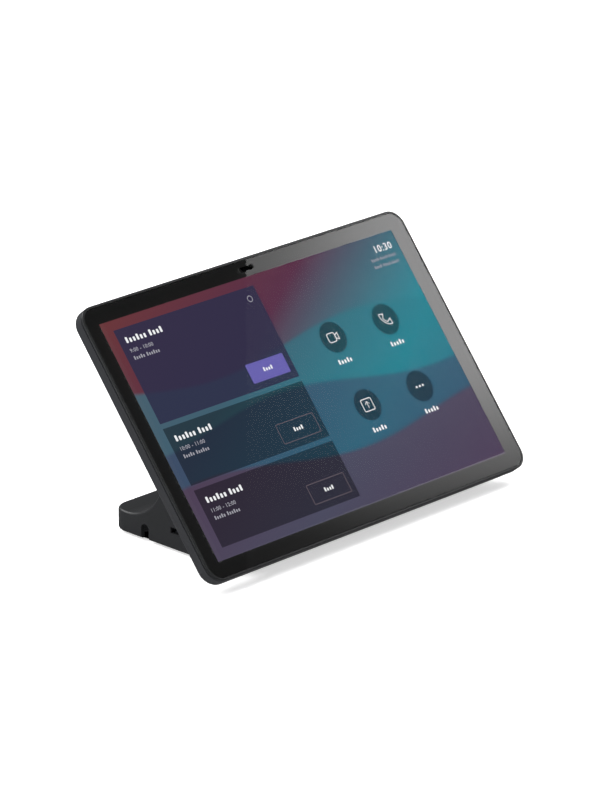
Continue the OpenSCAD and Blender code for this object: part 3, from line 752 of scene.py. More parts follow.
@dataclass
class ScreenPicture:
    """The lit area: a plain backdrop of soft swells, three cards, four round keys and a clock.

    Attributes:
        head: The head's frame.
        width: Width of the lit area.
        height: Height of the lit area.
        depth: How far the picture lies behind the glass face.
        offset: Where the middle of the lit area lies on the glass.
        margin: Gap between the lit area's edge and the cards.
        card_width: Width of a card.
        card_gap: Gap between two cards.
        card_heights: Heights of the cards, from the top.
        button: Width and height of a card's button.
        first_key: Middle of the upper left key.
        key_pitch: Distance between two keys.
        key_radius: Radius of a key.
        dusk: Colours of the slanting gradient, from the upper left.
        swells: Colours of the swells, from the top.
        swell_cover: How much of the gradient a swell hides.
        first_crest: Height of the first swell, as a share of the picture's.
        crest_step: How much lower each further swell lies.
        swing: Height of a swell's wave.
        blur: Softness of its edge.
        ink_lift: How far the symbols lie in front of the picture.
    """

    head: HeadFrame
    width: float = 172.2
    height: float = 107.6
    depth: float = 1.24
    offset: Point = (0.9, 0.2)
    margin: float = 4.3
    card_width: float = 80.7
    card_gap: float = 2.2
    card_heights: tuple[float, ...] = (42.8, 25.8, 25.8)
    button: Point = (21.7, 8.7)
    first_key: Point = (112.4, 36.2)
    key_pitch: float = 32.0
    key_radius: float = 7.1
    dusk: tuple[str, ...] = ("#6c383c", "#583048", "#248c9c", "#4c3c68")
    swells: tuple[str, ...] = ("#247888", "#3c3c60", "#5c3044")
    swell_cover: float = 0.55
    first_crest: float = 0.3
    crest_step: float = 0.22
    swing: float = 5.0
    blur: float = 1.2
    ink_lift: float = 0.03

    def __post_init__(self) -> None:
        """Stack the cards at the left and set the keys two by two at the right."""
        tints = (("#30304a", 0.92), ("#101014", 0.64), ("#101014", 0.64))
        self.cards: list[Card] = []
        top = self.margin
        for height, (colour, cover) in zip(self.card_heights, tints):
            self.cards.append(Card(top, top + height, colour, cover))
            top += height + self.card_gap
        (x, y), pitch = self.first_key, self.key_pitch
        self.keys = [(x + pitch * column, y + pitch * row) for row in (0, 1) for column in (0, 1)]

    def spot(self, x: float, y: float, lift: float = 0.0) -> Vector:
        """A point of the picture in head coordinates; lift brings it nearer the glass."""
        across, up = x - self.width / 2 + self.offset[0], self.height / 2 - y + self.offset[1]
        return Vector((across, up, -self.depth + lift))

    def near(self, x: float, y: float) -> Vector:
        """A point of the symbols, just in front of the picture."""
        return self.spot(x, y, self.ink_lift)

    def mid(self, x: float, y: float) -> Vector:
        """A point of the filled tiles, between the picture and the symbols."""
        return self.spot(x, y, self.ink_lift / 2)

    def wallpaper(self) -> bpy.types.Material:
        """Build the backdrop behind the symbols: a plain slanting gradient under even sine swells.

        Returns:
            The lit material, which reads the panel's own map.
        """
        material, tree, out = new_material("lcd_backdrop_swells")
        flat = add(tree, "ShaderNodeUVMap", uv_map="Picture").outputs[0]
        axes = add(tree, "ShaderNodeSeparateXYZ", {0: flat})
        x, y = axes.outputs[0], axes.outputs[1]
        wide, tall = self.width / MAP_MM, self.height / MAP_MM

        def step(operation: str, *sides: Socket | float) -> Socket:
            """A math step whose inputs are sockets or numbers."""
            sockets = {i: side for i, side in enumerate(sides) if isinstance(side, Socket)}
            numbers = {i: side for i, side in enumerate(sides) if i not in sockets}
            return add(tree, "ShaderNodeMath", sockets, numbers, operation=operation).outputs[0]

        def edge(value: Socket, middle: float, softness: float) -> Socket:
            """0 below a limit and 1 above it, with a soft step."""
            limits = {"From Min": middle - softness, "From Max": middle + softness}
            return add(tree, "ShaderNodeMapRange", {"Value": value}, limits,
                       interpolation_type="SMOOTHSTEP").outputs[0]

        def over(share: Socket, below: Socket, colour: str) -> Socket:
            """Lay a colour over another by a share."""
            return add(tree, "ShaderNodeMix", {0: share, 6: below}, {7: linear(colour)},
                       data_type="RGBA").outputs[2]

        def within(value: Socket, low: float, high: float) -> Socket:
            """1 between two limits in millimetres."""
            return step("COMPARE", value, (low + high) / 2 / MAP_MM, (high - low) / 2 / MAP_MM)

        slant = step("ADD", step("MULTIPLY", x, 0.5 / wide), step("MULTIPLY", y, 0.5 / tall))
        ramp = add(tree, "ShaderNodeValToRGB", {0: slant})
        fill_ramp(ramp, [(i / (len(self.dusk) - 1), colour) for i, colour in enumerate(self.dusk)])
        shown = ramp.outputs[0]
        for number, colour in enumerate(self.swells):
            # One wave spans the picture, and each swell is a third of a wave further along than the last.
            turn = step("ADD", step("MULTIPLY", x, math.tau / wide), number * math.tau / len(self.swells))
            crest = tall * (self.first_crest + self.crest_step * number)
            below = step("SUBTRACT", y, step("MULTIPLY", step("SINE", turn), self.swing / MAP_MM))
            share = step("MULTIPLY", edge(below, crest, self.blur / MAP_MM), self.swell_cover)
            shown = over(share, shown, colour)
        for card in self.cards:
            mask = step("MULTIPLY", within(x, self.margin, self.margin + self.card_width),
                        within(y, card.top, card.bottom))
            shown = over(step("MULTIPLY", mask, card.cover), shown, card.colour)
        place = add(tree, "ShaderNodeCombineXYZ", {0: x, 1: y}).outputs[0]
        for key_x, key_y in self.keys:
            middle = (key_x / MAP_MM, key_y / MAP_MM, 0)
            away = add(tree, "ShaderNodeVectorMath", {0: place}, {1: middle}, operation="DISTANCE")
            mask = step("SUBTRACT", 1.0, edge(away.outputs["Value"], self.key_radius / MAP_MM, 0.15 / MAP_MM))
            shown = over(step("MULTIPLY", mask, 0.66), shown, "#14151a")
        glow = add(tree, "ShaderNodeEmission", {"Color": shown}, {"Strength": 1.0})
        tree.links.new(glow.outputs[0], out.inputs[0])
        return material

    def panel(self) -> None:
        """The display cell, with the picture on its front face."""
        outline = rounded_outline(176.6, 112.4, 0.3, 2, (0, -1.3))
        bm = loft([[Vector((u, v, -d)) for u, v in outline] for d in (self.depth, 2.5)])
        layer = bm.loops.layers.uv.new("Picture")
        for face in bm.faces:
            front = face.calc_center_median().z > -self.depth - 1e-4
            face.material_index = 0 if front else 1
            for loop in face.loops:
                co = loop.vert.co
                across, down = co.x - self.offset[0] + self.width / 2, self.height / 2 - co.y + self.offset[1]
                loop[layer].uv = (across / MAP_MM, down / MAP_MM)
        obj = as_object("display_cell", bm, self.head.matrix)
        dress(obj, "head", [self.wallpaper(), PET_WHITE.material()], ["touch_film", "lcd_cell"])

    @staticmethod
    def _stadium(bm: bmesh.types.BMesh, place: FlatPlace, x: float, y: float, w: float, h: float) -> None:
        """One round-ended bar, centred on its height and starting at x."""
        points = arc((x + w - h / 2, y), h / 2, -90, 90, 6) + arc((x + h / 2, y), h / 2, 90, 270, 6)
        bm.faces.new([bm.verts.new(place(u, v)) for u, v in reversed(points)])

    @staticmethod
    def _stroke(bm: bmesh.types.BMesh, place: FlatPlace, path: Sequence[Point], width: float,
                closed: bool = False) -> None:
        """Draw a line of even width along a path.

        Args:
            bm: Mesh to add to.
            place: Turns the path's (x, y) into a point.
            path: Points of the line.
            width: Its width.
            closed: Join its end to its start.
        """
        points = [Vector(p) for p in path]
        count = len(points)
        left, right = [], []
        for i, p in enumerate(points):
            before = [points[i - 1], p] if i or closed else None
            after = [p, points[(i + 1) % count]] if i < count - 1 or closed else None
            normals = [Vector((-(b - a).y, (b - a).x)).normalized() for a, b in filter(None, (before, after))]
            normal = sum(normals, Vector((0, 0))).normalized()
            reach = width / 2 / max(normal.dot(normals[0]), 0.4)
            left.append(bm.verts.new(place(*(p + normal * reach))))
            right.append(bm.verts.new(place(*(p - normal * reach))))
        for i in range(count if closed else count - 1):
            j = (i + 1) % count
            bm.faces.new((left[i], left[j], right[j], right[i]))

    def _figures(self, bm: bmesh.types.BMesh, text: str, size: float, x: float, y: float, weight: float,
                 right: bool = False) -> None:
        """Add flat numerals.

        Args:
            bm: Mesh to add to.
            text: The numerals.
            size: Their size.
            x: Their left end, or their right end.
            y: Their middle line.
            weight: How far their outlines are spread.
            right: True if x is the right end.
        """
        curve = bpy.data.curves.new("figures", "FONT")
        curve.body, curve.size = text, size
        curve.align_x, curve.align_y = "RIGHT" if right else "LEFT", "CENTER"
        curve.resolution_u, curve.offset, curve.space_character = 3, weight, 1.12
        holder = bpy.data.objects.new("figures", curve)
        bpy.context.scene.collection.objects.link(holder)
        graph = bpy.context.evaluated_depsgraph_get()
        mesh = bpy.data.meshes.new_from_object(holder.evaluated_get(graph))
        for vert in mesh.vertices:
            vert.co = self.near(x + vert.co.x, y - vert.co.y)
        bm.from_mesh(mesh)
        bpy.data.objects.remove(holder)
        bpy.data.meshes.remove(mesh)

    def _writing(self, bm: bmesh.types.BMesh, words: Sequence[int], x: float, y: float, size: float,
                 align: float = 0.0) -> None:
        """Stand in for a line of writing with plain blocks, every third of them tall.

        Args:
            bm: Mesh to add to.
            words: How many blocks each word has.
            x: Place of the left end, middle or right end.
            y: Base line.
            size: Height of a low block.
            align: 0 starts at x, 0.5 is centred on it and 1 ends there.
        """
        pitch, block, space = 1.05 * size, 0.62 * size, 0.6
        place = x - (sum(words) + space * (len(words) - 1)) * pitch * align
        for count in words:
            for i in range(count):
                tall = size * (1.4 if i % 3 == 0 else 1.0)
                outline = rounded_outline(block, tall, block * 0.3, 3, (place + pitch / 2, y - tall / 2))
                bm.faces.new([bm.verts.new(self.near(u, v)) for u, v in outline])
                place += pitch
            place += space * pitch

    def _finish(self, name: str, bm: bmesh.types.BMesh, ink: LitInk) -> None:
        """Face a flat symbol mesh out of the glass and dress it.

        Args:
            name: Name of the piece.
            bm: The mesh, which is freed.
            ink: Its light.
        """
        for face in bm.faces:
            face.normal_update()
            if face.normal.z < 0:
                face.normal_flip()
        obj = as_object(name, bm, self.head.matrix)
        dress(obj, "head", [ink.material()])

    def key_symbols(self, bold: bmesh.types.BMesh) -> None:
        """A white line symbol on each key, with a row of blocks below it.

        Args:
            bold: Mesh to add to.
        """
        (cx, cy), (hx, hy), (sx, sy), (mx, my) = self.keys
        line, thin = 0.38, 0.3
        # A film camera: a rounded box with a horn.
        horn = [(cx + 1.3, cy - 0.7), (cx + 2.9, cy - 1.5), (cx + 2.9, cy + 1.5), (cx + 1.3, cy + 0.7)]
        self._stroke(bold, self.near, rounded_outline(4.3, 4.1, 0.9, 4, (cx - 0.95, cy)), line, True)
        self._stroke(bold, self.near, horn, line, True)
        # A handset in outline: a bent band, swollen at both ends.
        hub, start, end, steps = (hx + 2.3, hy - 2.3), 84, 186, 20
        outer, inner = arc(hub, 4.9, start, end, steps), []
        for i in range(steps + 1):
            swell = max(0.0, (abs(2 * i / steps - 1) - 0.45) / 0.55) ** 0.5
            angle = math.radians(end - (end - start) * i / steps)
            r = 3.9 - 1.5 * swell
            inner.append((hub[0] + r * math.cos(angle), hub[1] + r * math.sin(angle)))
        self._stroke(bold, self.near, outer + inner, line, True)
        # A sheet with an arrow out of its top.
        self._stroke(bold, self.near, rounded_outline(5.9, 5.4, 0.6, 4, (sx, sy)), line, True)
        self._stroke(bold, self.near, [(sx, sy + 1.6), (sx, sy - 1.3)], thin)
        self._stroke(bold, self.near, [(sx - 1.25, sy - 0.25), (sx, sy - 1.5), (sx + 1.25, sy - 0.25)], thin)
        # Three dots.
        dot = 1.1
        for step in (-1.9, 0, 1.9):
            self._stadium(bold, self.near, mx + step - dot / 2, my, dot, dot)
        for x, y in self.keys:
            self._writing(bold, (5,), x, y + 12.2, 1.6, 0.5)

    def symbols(self) -> None:
        """The white line symbols, blocks in place of writing, and the figures of the clock."""
        bold, fine, tile, rule = bmesh.new(), bmesh.new(), bmesh.new(), bmesh.new()
        self.key_symbols(bold)
        # On each card: a heavy line, a span of hours, a light line and a button, filled on the first card.
        left, right = self.margin + 3.3, self.margin + self.card_width
        button_x = right - 13.9
        for hour, card in enumerate(self.cards, 9):
            line_y, button_y = card.top + 6.7, card.bottom - 7.4
            self._writing(bold, (6, 4), left, line_y, 1.9)
            self._figures(fine, f"{hour}:00 - {hour + 1}:00", 2.35, left, line_y + 3.5, 0.035)
            self._writing(fine, (5, 6), left, line_y + 7.6, 1.2)
            button = rounded_outline(*self.button, 0.5, 4, (button_x, button_y))
            if card is self.cards[0]:
                tile.faces.new([tile.verts.new(self.mid(u, v)) for u, v in button])
            else:
                self._stroke(rule, self.near, button, 0.26, True)
            self._writing(bold, (4,), button_x, button_y + 0.75, 1.35, 0.5)
        # A plain ring in the first card's corner.
        ring = arc((right - 5.2, self.margin + 5.1), 1.3, 0, 345, 23)
        self._stroke(fine, self.near, ring, 0.3, True)
        clock_x = self.width - 4.4
        self._figures(bold, "10:30", 4.5, clock_x, 6.3, 0.07, True)
        for base_line in (11.2, 14.4):
            self._writing(fine, (4, 4, 4), clock_x, base_line, 1.1, 1.0)
        self._finish("screen_symbols", bold, LitInk("lcd_symbol_white", "#f2f2f5", 1.0))
        self._finish("screen_small_print", fine, LitInk("lcd_symbol_grey", "#a9a7b2", 0.9))
        self._finish("screen_button", tile, LitInk("lcd_button_violet", "#6a63b0", 1.0))
        self._finish("screen_rules", rule, LitInk("lcd_rule_mauve", "#6c6068", 1.0))

    def build(self) -> None:
        """Make the whole lit picture."""
        self.panel()
        self.symbols()


# ---------------------------------------------------------------- the head

@dataclass
class ScreenHead:
    """The screen head's skins: glass, frame and rear housing."""

    head: HeadFrame
    glass_width: float = 187.0
    glass_height: float = 121.8
    corner: float = 7.2
    lip: float = 1.1
    gap: float = 0.1
    side_depth: float = 5.6
    depth: float = 10.5
    wall: float = 1.6
    groove_top: float = 0.9
    groove_low: float = 1.2
    leaf_x: float = 45.0
    leaf_width: float = 18.0
    leaf_length: float = 21.0
    leaf_middle: float = -45.5
    ribbon_v: float = -42.0
    window: Point = (170.4, 107.4)
    pill: Point = (7.3, 2.2)
    pill_v: float = 57.2

    def ring(self, inset: float, depth: float, radius: float | None = None) -> list[Vector]:
        """The head's outline at a depth.

        Args:
            inset: How far it is shrunk.
            depth: How far it lies behind the glass face.
            radius: Radius of its corners, or None for the head's own less the inset.

        Returns:
            The outline's points.
        """
        width = self.glass_width + 2 * (self.gap + self.lip) - 2 * inset
        height = self.glass_height + 2 * (self.gap + self.lip) - 2 * inset
        r = max(self.corner - inset, 0.4) if radius is None else radius
        return [Vector((u, v, -depth)) for u, v in rounded_outline(width, height, r)]

    def glass(self) -> None:
        """The cover glass, with a fine ground edge and its coated zones."""
        edge, ground, back = self.lip + self.gap, 0.1, 1.07
        bm = loft([self.ring(edge + ground, 0.0), self.ring(edge, ground), self.ring(edge, back - 0.09),
                   self.ring(edge + ground, back)], cap_start=False)
        coating = bm.faces.layers.float.new("Coating")
        border = [e for e in bm.edges if all(abs(v.co.z) < 1e-4 for v in e.verts)]
        pill = rounded_outline(*self.pill, self.pill[1] / 2 - 0.01, 8, (0, self.pill_v))
        for outline in (rounded_outline(*self.window, 0.3, 2), pill):
            zone = bm.faces.new([bm.verts.new((u, v, 0)) for u, v in outline])
            zone[coating] = 1.0
            border += list(zone.edges)
        bmesh.ops.triangle_fill(bm, use_beauty=True, edges=border)
        bmesh.ops.recalc_face_normals(bm, faces=bm.faces)
        for face in bm.faces:
            face.material_index = 0 if face.calc_center_median().z > -0.06 else 1
        finish = CoverGlass()
        obj = as_object("cover_glass_pane", bm, self.head.matrix)
        dress(obj, "head", [finish.front(), finish.body()], ["cover_glass"])

    def front(self) -> None:
        """The frame: a slim rounded rim, then the step that leaves a shadow line above the housing."""
        r, turn, proud = 0.42, math.radians(18), 0.1
        rim = [self.ring(r - r * math.sin(turn * i), -proud + r - r * math.cos(turn * i)) for i in range(6)]
        rings = [self.ring(self.lip, 1.45), self.ring(self.lip, 0.02), self.ring(self.lip - 0.1, -proud),
                 *rim,
                 self.ring(0, self.groove_top - 0.12), self.ring(0.12, self.groove_top),
                 self.ring(0.68, self.groove_top), self.ring(0.72, 2.3), self.ring(4.5, 2.3),
                 self.ring(4.5, 1.52)]
        obj = as_object("frame_rim", loft(rings, closed=True), self.head.matrix)
        dress(obj, "head", [RIM.material()], ["front_frame"])

    def rear(self) -> None:
        """The rear housing: a straight wall that turns into a soft slope, and a flat back."""
        slope, steps = self.depth - self.side_depth, 6
        first, second = 3.0, 4.0  # radii of the turn into the slope and of the turn out of it
        t1, t2 = first * math.tan(math.pi / 8), second * math.tan(math.pi / 8)
        rings = [self.ring(slope + self.wall, self.depth - self.wall, 3),
                 self.ring(self.wall, self.side_depth),
                 self.ring(self.wall, 2.5), self.ring(0.6, 2.5), self.ring(0.6, self.groove_low + 0.1),
                 self.ring(0.5, self.groove_low), self.ring(0.22, self.groove_low),
                 self.ring(0.07, self.groove_low + 0.07), self.ring(0, self.groove_low + 0.22)]
        for i in range(steps + 1):
            a = math.radians(45 * i / steps)
            inset = first * (1 - math.cos(a))
            depth = self.side_depth - t1 + first * math.sin(a)
            rings.append(self.ring(inset, depth, self.corner - inset * 0.5))
        for i in range(steps + 1):
            a = math.radians(45 + 45 * i / steps)
            inset = slope + t2 - second * math.cos(a)
            depth = self.depth - second * (1 - math.sin(a))
            rings.append(self.ring(inset, depth, max(self.corner - inset * 0.5, 2)))
        obj = as_object("rear_case", loft(rings), self.head.matrix)
        outside, slot = self.depth + 2, rounded_outline(23, 4.4, 1.2, 6, (0, self.ribbon_v))
        cuts = []
        for side in (-1, 1):
            pocket = rounded_outline(self.leaf_width + 0.3, self.leaf_length + 0.3, 0.8, 4,
                                     (side * self.leaf_x, self.leaf_middle))
            cuts.append(cutter(pocket, behind, self.depth - 1.5, outside, self.head.matrix))
        cuts.append(cutter(slot, behind, self.depth - 3, outside, self.head.matrix))
        even_normals(carve(obj, cuts))
        dress(obj, "head", [HOUSING.material()], ["rear_housing"])

    def build(self) -> None:
        """Make the head's skins."""
        self.glass()
        self.front()
        self.rear()


# ---------------------------------------------------------------- the base

@dataclass
class WedgeBase:
    """The base shell: a neck behind the head that sweeps down to a low rear deck, open below for cables."""

    base: BaseFrame
    wall: float = 2.0
    deck: float = 9.5
    deck_length: float = 9.0
    sweep: float = 21.5
    neck_angle: float = 80.0
    corner: float = 8.0
    neck_depth: float = 11.5
    neck_top: float = -2.0
    neck_low: float = -47.0
    chamfer: float = 3.0
    arch_width: float = 4.8
    arch_height: float = 6.8
    arch_back: float = 20.4
    lock_length: float = 7.0
    lock_height: float = 2.5
    lock_z: float = 8.5

    def side(self, inset: float) -> list[Point]:
        """The side view's outline.

        Args:
            inset: How far it is shrunk; the hollow's is the wall's thickness.

        Returns:
            Its (y, z) points.
        """
        b = self.base
        r, under = self.sweep + inset, -0.02 if inset else 0.0
        sweep_y, sweep_z = b.rear_y - self.deck_length, self.deck + self.sweep
        turn = arc((sweep_y, sweep_z), r, 270, 270 - self.neck_angle, 40)
        neck = math.radians(self.neck_angle)
        along = Vector((-math.cos(neck), math.sin(neck)))
        across = Vector((math.sin(b.head.tilt), -math.cos(b.head.tilt)))
        top_front, end = Vector(b.at_head(self.neck_top - inset, -self.neck_depth - inset)), Vector(turn[-1])
        gap = top_front - end
        reach = (gap.x * across.y - gap.y * across.x) / (along.x * across.y - along.y * across.x)
        top_back = end + along * reach
        cut = max(self.chamfer - inset * 0.6, 0.5)
        low_z = b.at_head(self.neck_low, -self.neck_depth - inset)[1]
        front, rear = b.front_y + inset, b.rear_y - inset
        return [(front, under), (rear, under), (rear, self.deck - inset), *turn,
                tuple(top_back - along * cut), tuple(top_back - across * cut), tuple(top_front),
                (front, low_z)]

    def plan(self, inset: float) -> list[Point]:
        """The plan's outline.

        Args:
            inset: How far it is shrunk.

        Returns:
            Its (x, y) points.
        """
        half, r = self.base.width / 2 - inset, self.corner - inset
        front, rear = self.base.front_y + inset, self.base.rear_y - inset
        return [(-half, front), (half, front), *arc((half - r, rear - r), r, 0, 90, 18),
                *arc((-half + r, rear - r), r, 90, 180, 18)]

    def form(self, name: str, inset: float) -> bpy.types.Object:
        """The base's solid form, or its hollow.

        Args:
            name: Name of the object.
            inset: 0 for the form, or the wall's thickness for the hollow.

        Returns:
            The object.
        """
        b = self.base
        past = b.width / 2 + 1
        body = as_object(name, prism(self.side(inset), sideways, -past, past), b.matrix)
        return carve(body, [cutter(self.plan(inset), upright, -3, 70, b.matrix)], "INTERSECT")

    def openings(self) -> list[bpy.types.Object]:
        """Cutters for the arch, the security slot, the hinges, the bumpers and the ribbon.

        Returns:
            The cutters.
        """
        b, half = self.base, self.base.width / 2
        outside, arch_y, r = -half - 2, b.rear_y - self.arch_back, self.arch_width / 2
        cheek, spring = r - 0.2, self.arch_height - r
        arch = [(arch_y - cheek, -1), (arch_y + cheek, -1), (arch_y + cheek, spring),
                *arc((arch_y, spring), r, 0, 180, 16), (arch_y - cheek, spring)]
        low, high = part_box("lock_plate")
        lock_y = (low.y + high.y) / 2 / MM - b.head.origin.y / MM
        lock = rounded_outline(self.lock_length, self.lock_height, 0.35, 3, (lock_y, self.lock_z))
        cuts = [cutter(arch, sideways, outside, -half + self.wall + 1.5, b.matrix),
                cutter(lock, sideways, outside, -half + self.wall + 0.5, b.matrix)]
        for side in (-1, 1):
            hinge = rounded_outline(19, 2.4, 0.4, 3, (side * 45, 4.0))
            cuts.append(cutter(hinge, facing, b.front_y - 2, b.front_y + self.wall + 1, b.matrix))
        for side in (-1, 1):
            bumper = arc((side * 40, -12), 4.1, 0, 351, 39)
            cuts.append(cutter(bumper, upright, -self.neck_depth - 0.8, -self.neck_depth + 2, b.head.matrix))
        ribbon = rounded_outline(23, 5, 1.2, 6, (0, -42))
        return cuts + [cutter(ribbon, upright, -self.neck_depth - 4, -self.neck_depth + 2, b.head.matrix)]

    def shell(self) -> None:
        """The moulded shell, with its openings and the blocks that carry the feet and screws."""
        b = self.base
        obj = soften(self.form("wedge_shell", 0.0), 1.25, 5)
        carve(obj, [self.form("hollow", self.wall)])
        carve(obj, self.openings())
        parts = [even_normals(obj)]
        for low, high in islands("rubber_feet"):
            x, y = (low.x + high.x) / 2 / MM, ((low.y + high.y) / 2 - b.head.origin.y) / MM
            if y > b.front_y + 30:
                block = prism(rounded_outline(13, 11, 1.0, 4, (x, y)), upright, 0.0, self.deck - 1)
                dimple = cutter(arc((x, y), 5.1, 0, 354, 59), upright, -1, 0.6, b.matrix)
                parts.append(carve(as_object("block", block, b.matrix), [dimple]))
        post_top = 10.5
        for low, high in islands("floor_screws"):
            x, y = (low.x + high.x) / 2 / MM, ((low.y + high.y) / 2 - b.head.origin.y) / MM
            wall_x = math.copysign(b.width / 2 - 1, x)
            post = prism(arc((x, y), 3.0, 0, 350, 35), upright, 1.85, post_top)
            web = rounded_outline(abs(wall_x - x), 2, 0.2, 2, ((x + wall_x) / 2, y))
            parts += [as_object("post", post, b.matrix),
                      as_object("rib", prism(web, upright, 3.4, post_top), b.matrix)]
        dress(join("wedge_shell", parts), "base", [BASE_SKIN.material()], ["base_shell"])

    def lathe(self, name: str, node: str, profile: Sequence[Point], tilted: bool = False) -> None:
        """Turn a profile into a round rubber pad at each solid of a node.

        Args:
            name: Name of the piece.
            node: CAD node whose solids give the places.
            profile: (radius, height) pairs from the mounting face outwards.
            tilted: True if the pads face out along the screen's normal.
        """
        axis = self.base.head.normal if tilted else Vector((0, 0, -1))
        turn = axis.to_track_quat("Z", "Y").to_matrix().to_4x4() @ Matrix.Scale(MM, 4)
        parts = [as_object("pad", turned(profile, 48), Matrix.Translation((low + high) / 2) @ turn)
                 for low, high in islands(node)]
        dress(join(name, parts), "base", [RUBBER.material()], [node])

    def build(self) -> None:
        """Make the base's skins, feet and bumpers."""
        self.shell()
        self.lathe("foot_pads", "rubber_feet",
                   [(5.0, -0.8), (5.0, 0.45), (4.9, 0.65), (4.65, 0.78), (4.2, 0.8)])
        self.lathe("head_bumpers", "bumper_pads",
                   [(4.0, -0.75), (4.0, 0.45), (3.85, 0.66), (3.5, 0.75)], True)


# ---------------------------------------------------------------- repeated fasteners

@dataclass
class ScrewSet:
    """Pan-head screws with a hexagon socket, one at each solid of a CAD node."""

    node: str
    body: str
    slot: str
    finish: Finish
    axis: Vector
    head_radius: float
    head_height: float
    shank_radius: float
    length: float

    def tree(self) -> tuple[bpy.types.NodeTree, dict[str, str]]:
        """Build the node tree that sets a screw at each point.

        Returns:
            The tree and the identifier of each of its inputs.
        """
        tree = bpy.data.node_groups.new("screws_at_points", "GeometryNodeTree")
        kinds = {"Geometry": "Geometry", "Head Radius": "Float", "Head Height": "Float",
                 "Shank Radius": "Float", "Length": "Float", "Turn": "Rotation", "Finish": "Material"}
        sockets = {name: tree.interface.new_socket(name, in_out="INPUT", socket_type="NodeSocket" + kind)
                   for name, kind in kinds.items()}
        tree.interface.new_socket("Geometry", in_out="OUTPUT", socket_type="NodeSocketGeometry")
        g = add(tree, "NodeGroupInput").outputs
        radius, height = g["Head Radius"], g["Head Height"]

        def times(size: Socket, factor: float) -> Socket:
            """A size, scaled by a factor."""
            return add(tree, "ShaderNodeMath", {0: size}, {1: factor}, operation="MULTIPLY").outputs[0]

        def minus(size: Socket, other: Socket) -> Socket:
            """The difference of two sizes."""
            return add(tree, "ShaderNodeMath", {0: size, 1: other}, operation="SUBTRACT").outputs[0]

        def barrel(top: Socket, bottom: Socket, depth: Socket, lift: Socket, sides: int) -> Socket:
            """A closed round solid.

            Args:
                top: Radius of its top.
                bottom: Radius of its bottom.
                depth: Its height.
                lift: Height it stands on.
                sides: Faces round it.

            Returns:
                Its geometry.
            """
            cone = add(tree, "GeometryNodeMeshCone",
                       {"Radius Top": top, "Radius Bottom": bottom, "Depth": depth}, {"Vertices": sides})
            shift = add(tree, "ShaderNodeCombineXYZ", {2: lift})
            return add(tree, "GeometryNodeTransform",
                       {"Geometry": cone.outputs[0], "Translation": shift.outputs[0]}).outputs[0]

        # The head is a disc with a bevelled top, whose upper face lies at the point.
        bevel, low = times(height, 0.3), times(height, -1.0)
        top = barrel(times(radius, 0.86), radius, bevel, times(bevel, -1.0), 28)
        disc = barrel(radius, radius, minus(height, bevel), low, 28)
        body = add(tree, "GeometryNodeMeshBoolean", {"Mesh 2": top}, operation="UNION")
        tree.links.new(disc, body.inputs["Mesh 2"])
        # A hexagon socket, sunk 0.62 of the head's height.
        bite = times(radius, 0.5)
        socket = barrel(bite, bite, times(height, 1.3), times(height, -0.62), 6)
        cut = add(tree, "GeometryNodeMeshBoolean", {"Mesh 1": body.outputs[0], "Mesh 2": socket},
                  operation="DIFFERENCE")
        shank = barrel(g["Shank Radius"], g["Shank Radius"], g["Length"], minus(low, g["Length"]), 20)
        whole = add(tree, "GeometryNodeJoinGeometry", {0: cut.outputs[0]})
        tree.links.new(shank, whole.inputs[0])
        placed = add(tree, "GeometryNodeInstanceOnPoints",
                     {"Points": g["Geometry"], "Instance": whole.outputs[0], "Rotation": g["Turn"]})
        solid = add(tree, "GeometryNodeRealizeInstances", {0: placed.outputs[0]})
        clad = add(tree, "GeometryNodeSetMaterial", {"Geometry": solid.outputs[0], "Material": g["Finish"]})
        add(tree, "NodeGroupOutput", {0: clad.outputs[0]})
        return tree, {name: item.identifier for name, item in sockets.items()}

    def build(self) -> None:
        """Set the screws and replace the node."""
        points = bpy.data.meshes.new(self.node + "_set")
        spots = []
        for low, high in islands(self.node):
            middle, half = (low + high) / 2, (self.head_height + self.length) * MM / 2
            spots.append(middle + self.axis * half)
        points.from_pydata(spots, [], [])
        obj = bpy.data.objects.new(self.node + "_set", points)
        bpy.context.scene.collection.objects.link(obj)
        tree, names = self.tree()
        step = obj.modifiers.new("screws", "NODES")
        step.node_group = tree
        for name, value in (("Head Radius", self.head_radius * MM), ("Head Height", self.head_height * MM),
                            ("Shank Radius", self.shank_radius * MM), ("Length", self.length * MM),
                            ("Turn", self.axis.to_track_quat("Z", "Y").to_euler()),
                            ("Finish", self.finish.material())):
            step[names[name]] = value
        settle(obj)
        obj.data.shade_smooth()
        obj.data.set_sharp_from_angle(angle=math.radians(28))
        dress(obj, self.body, [self.finish.material()], [self.node])


# ---------------------------------------------------------------- flexible and moving pieces

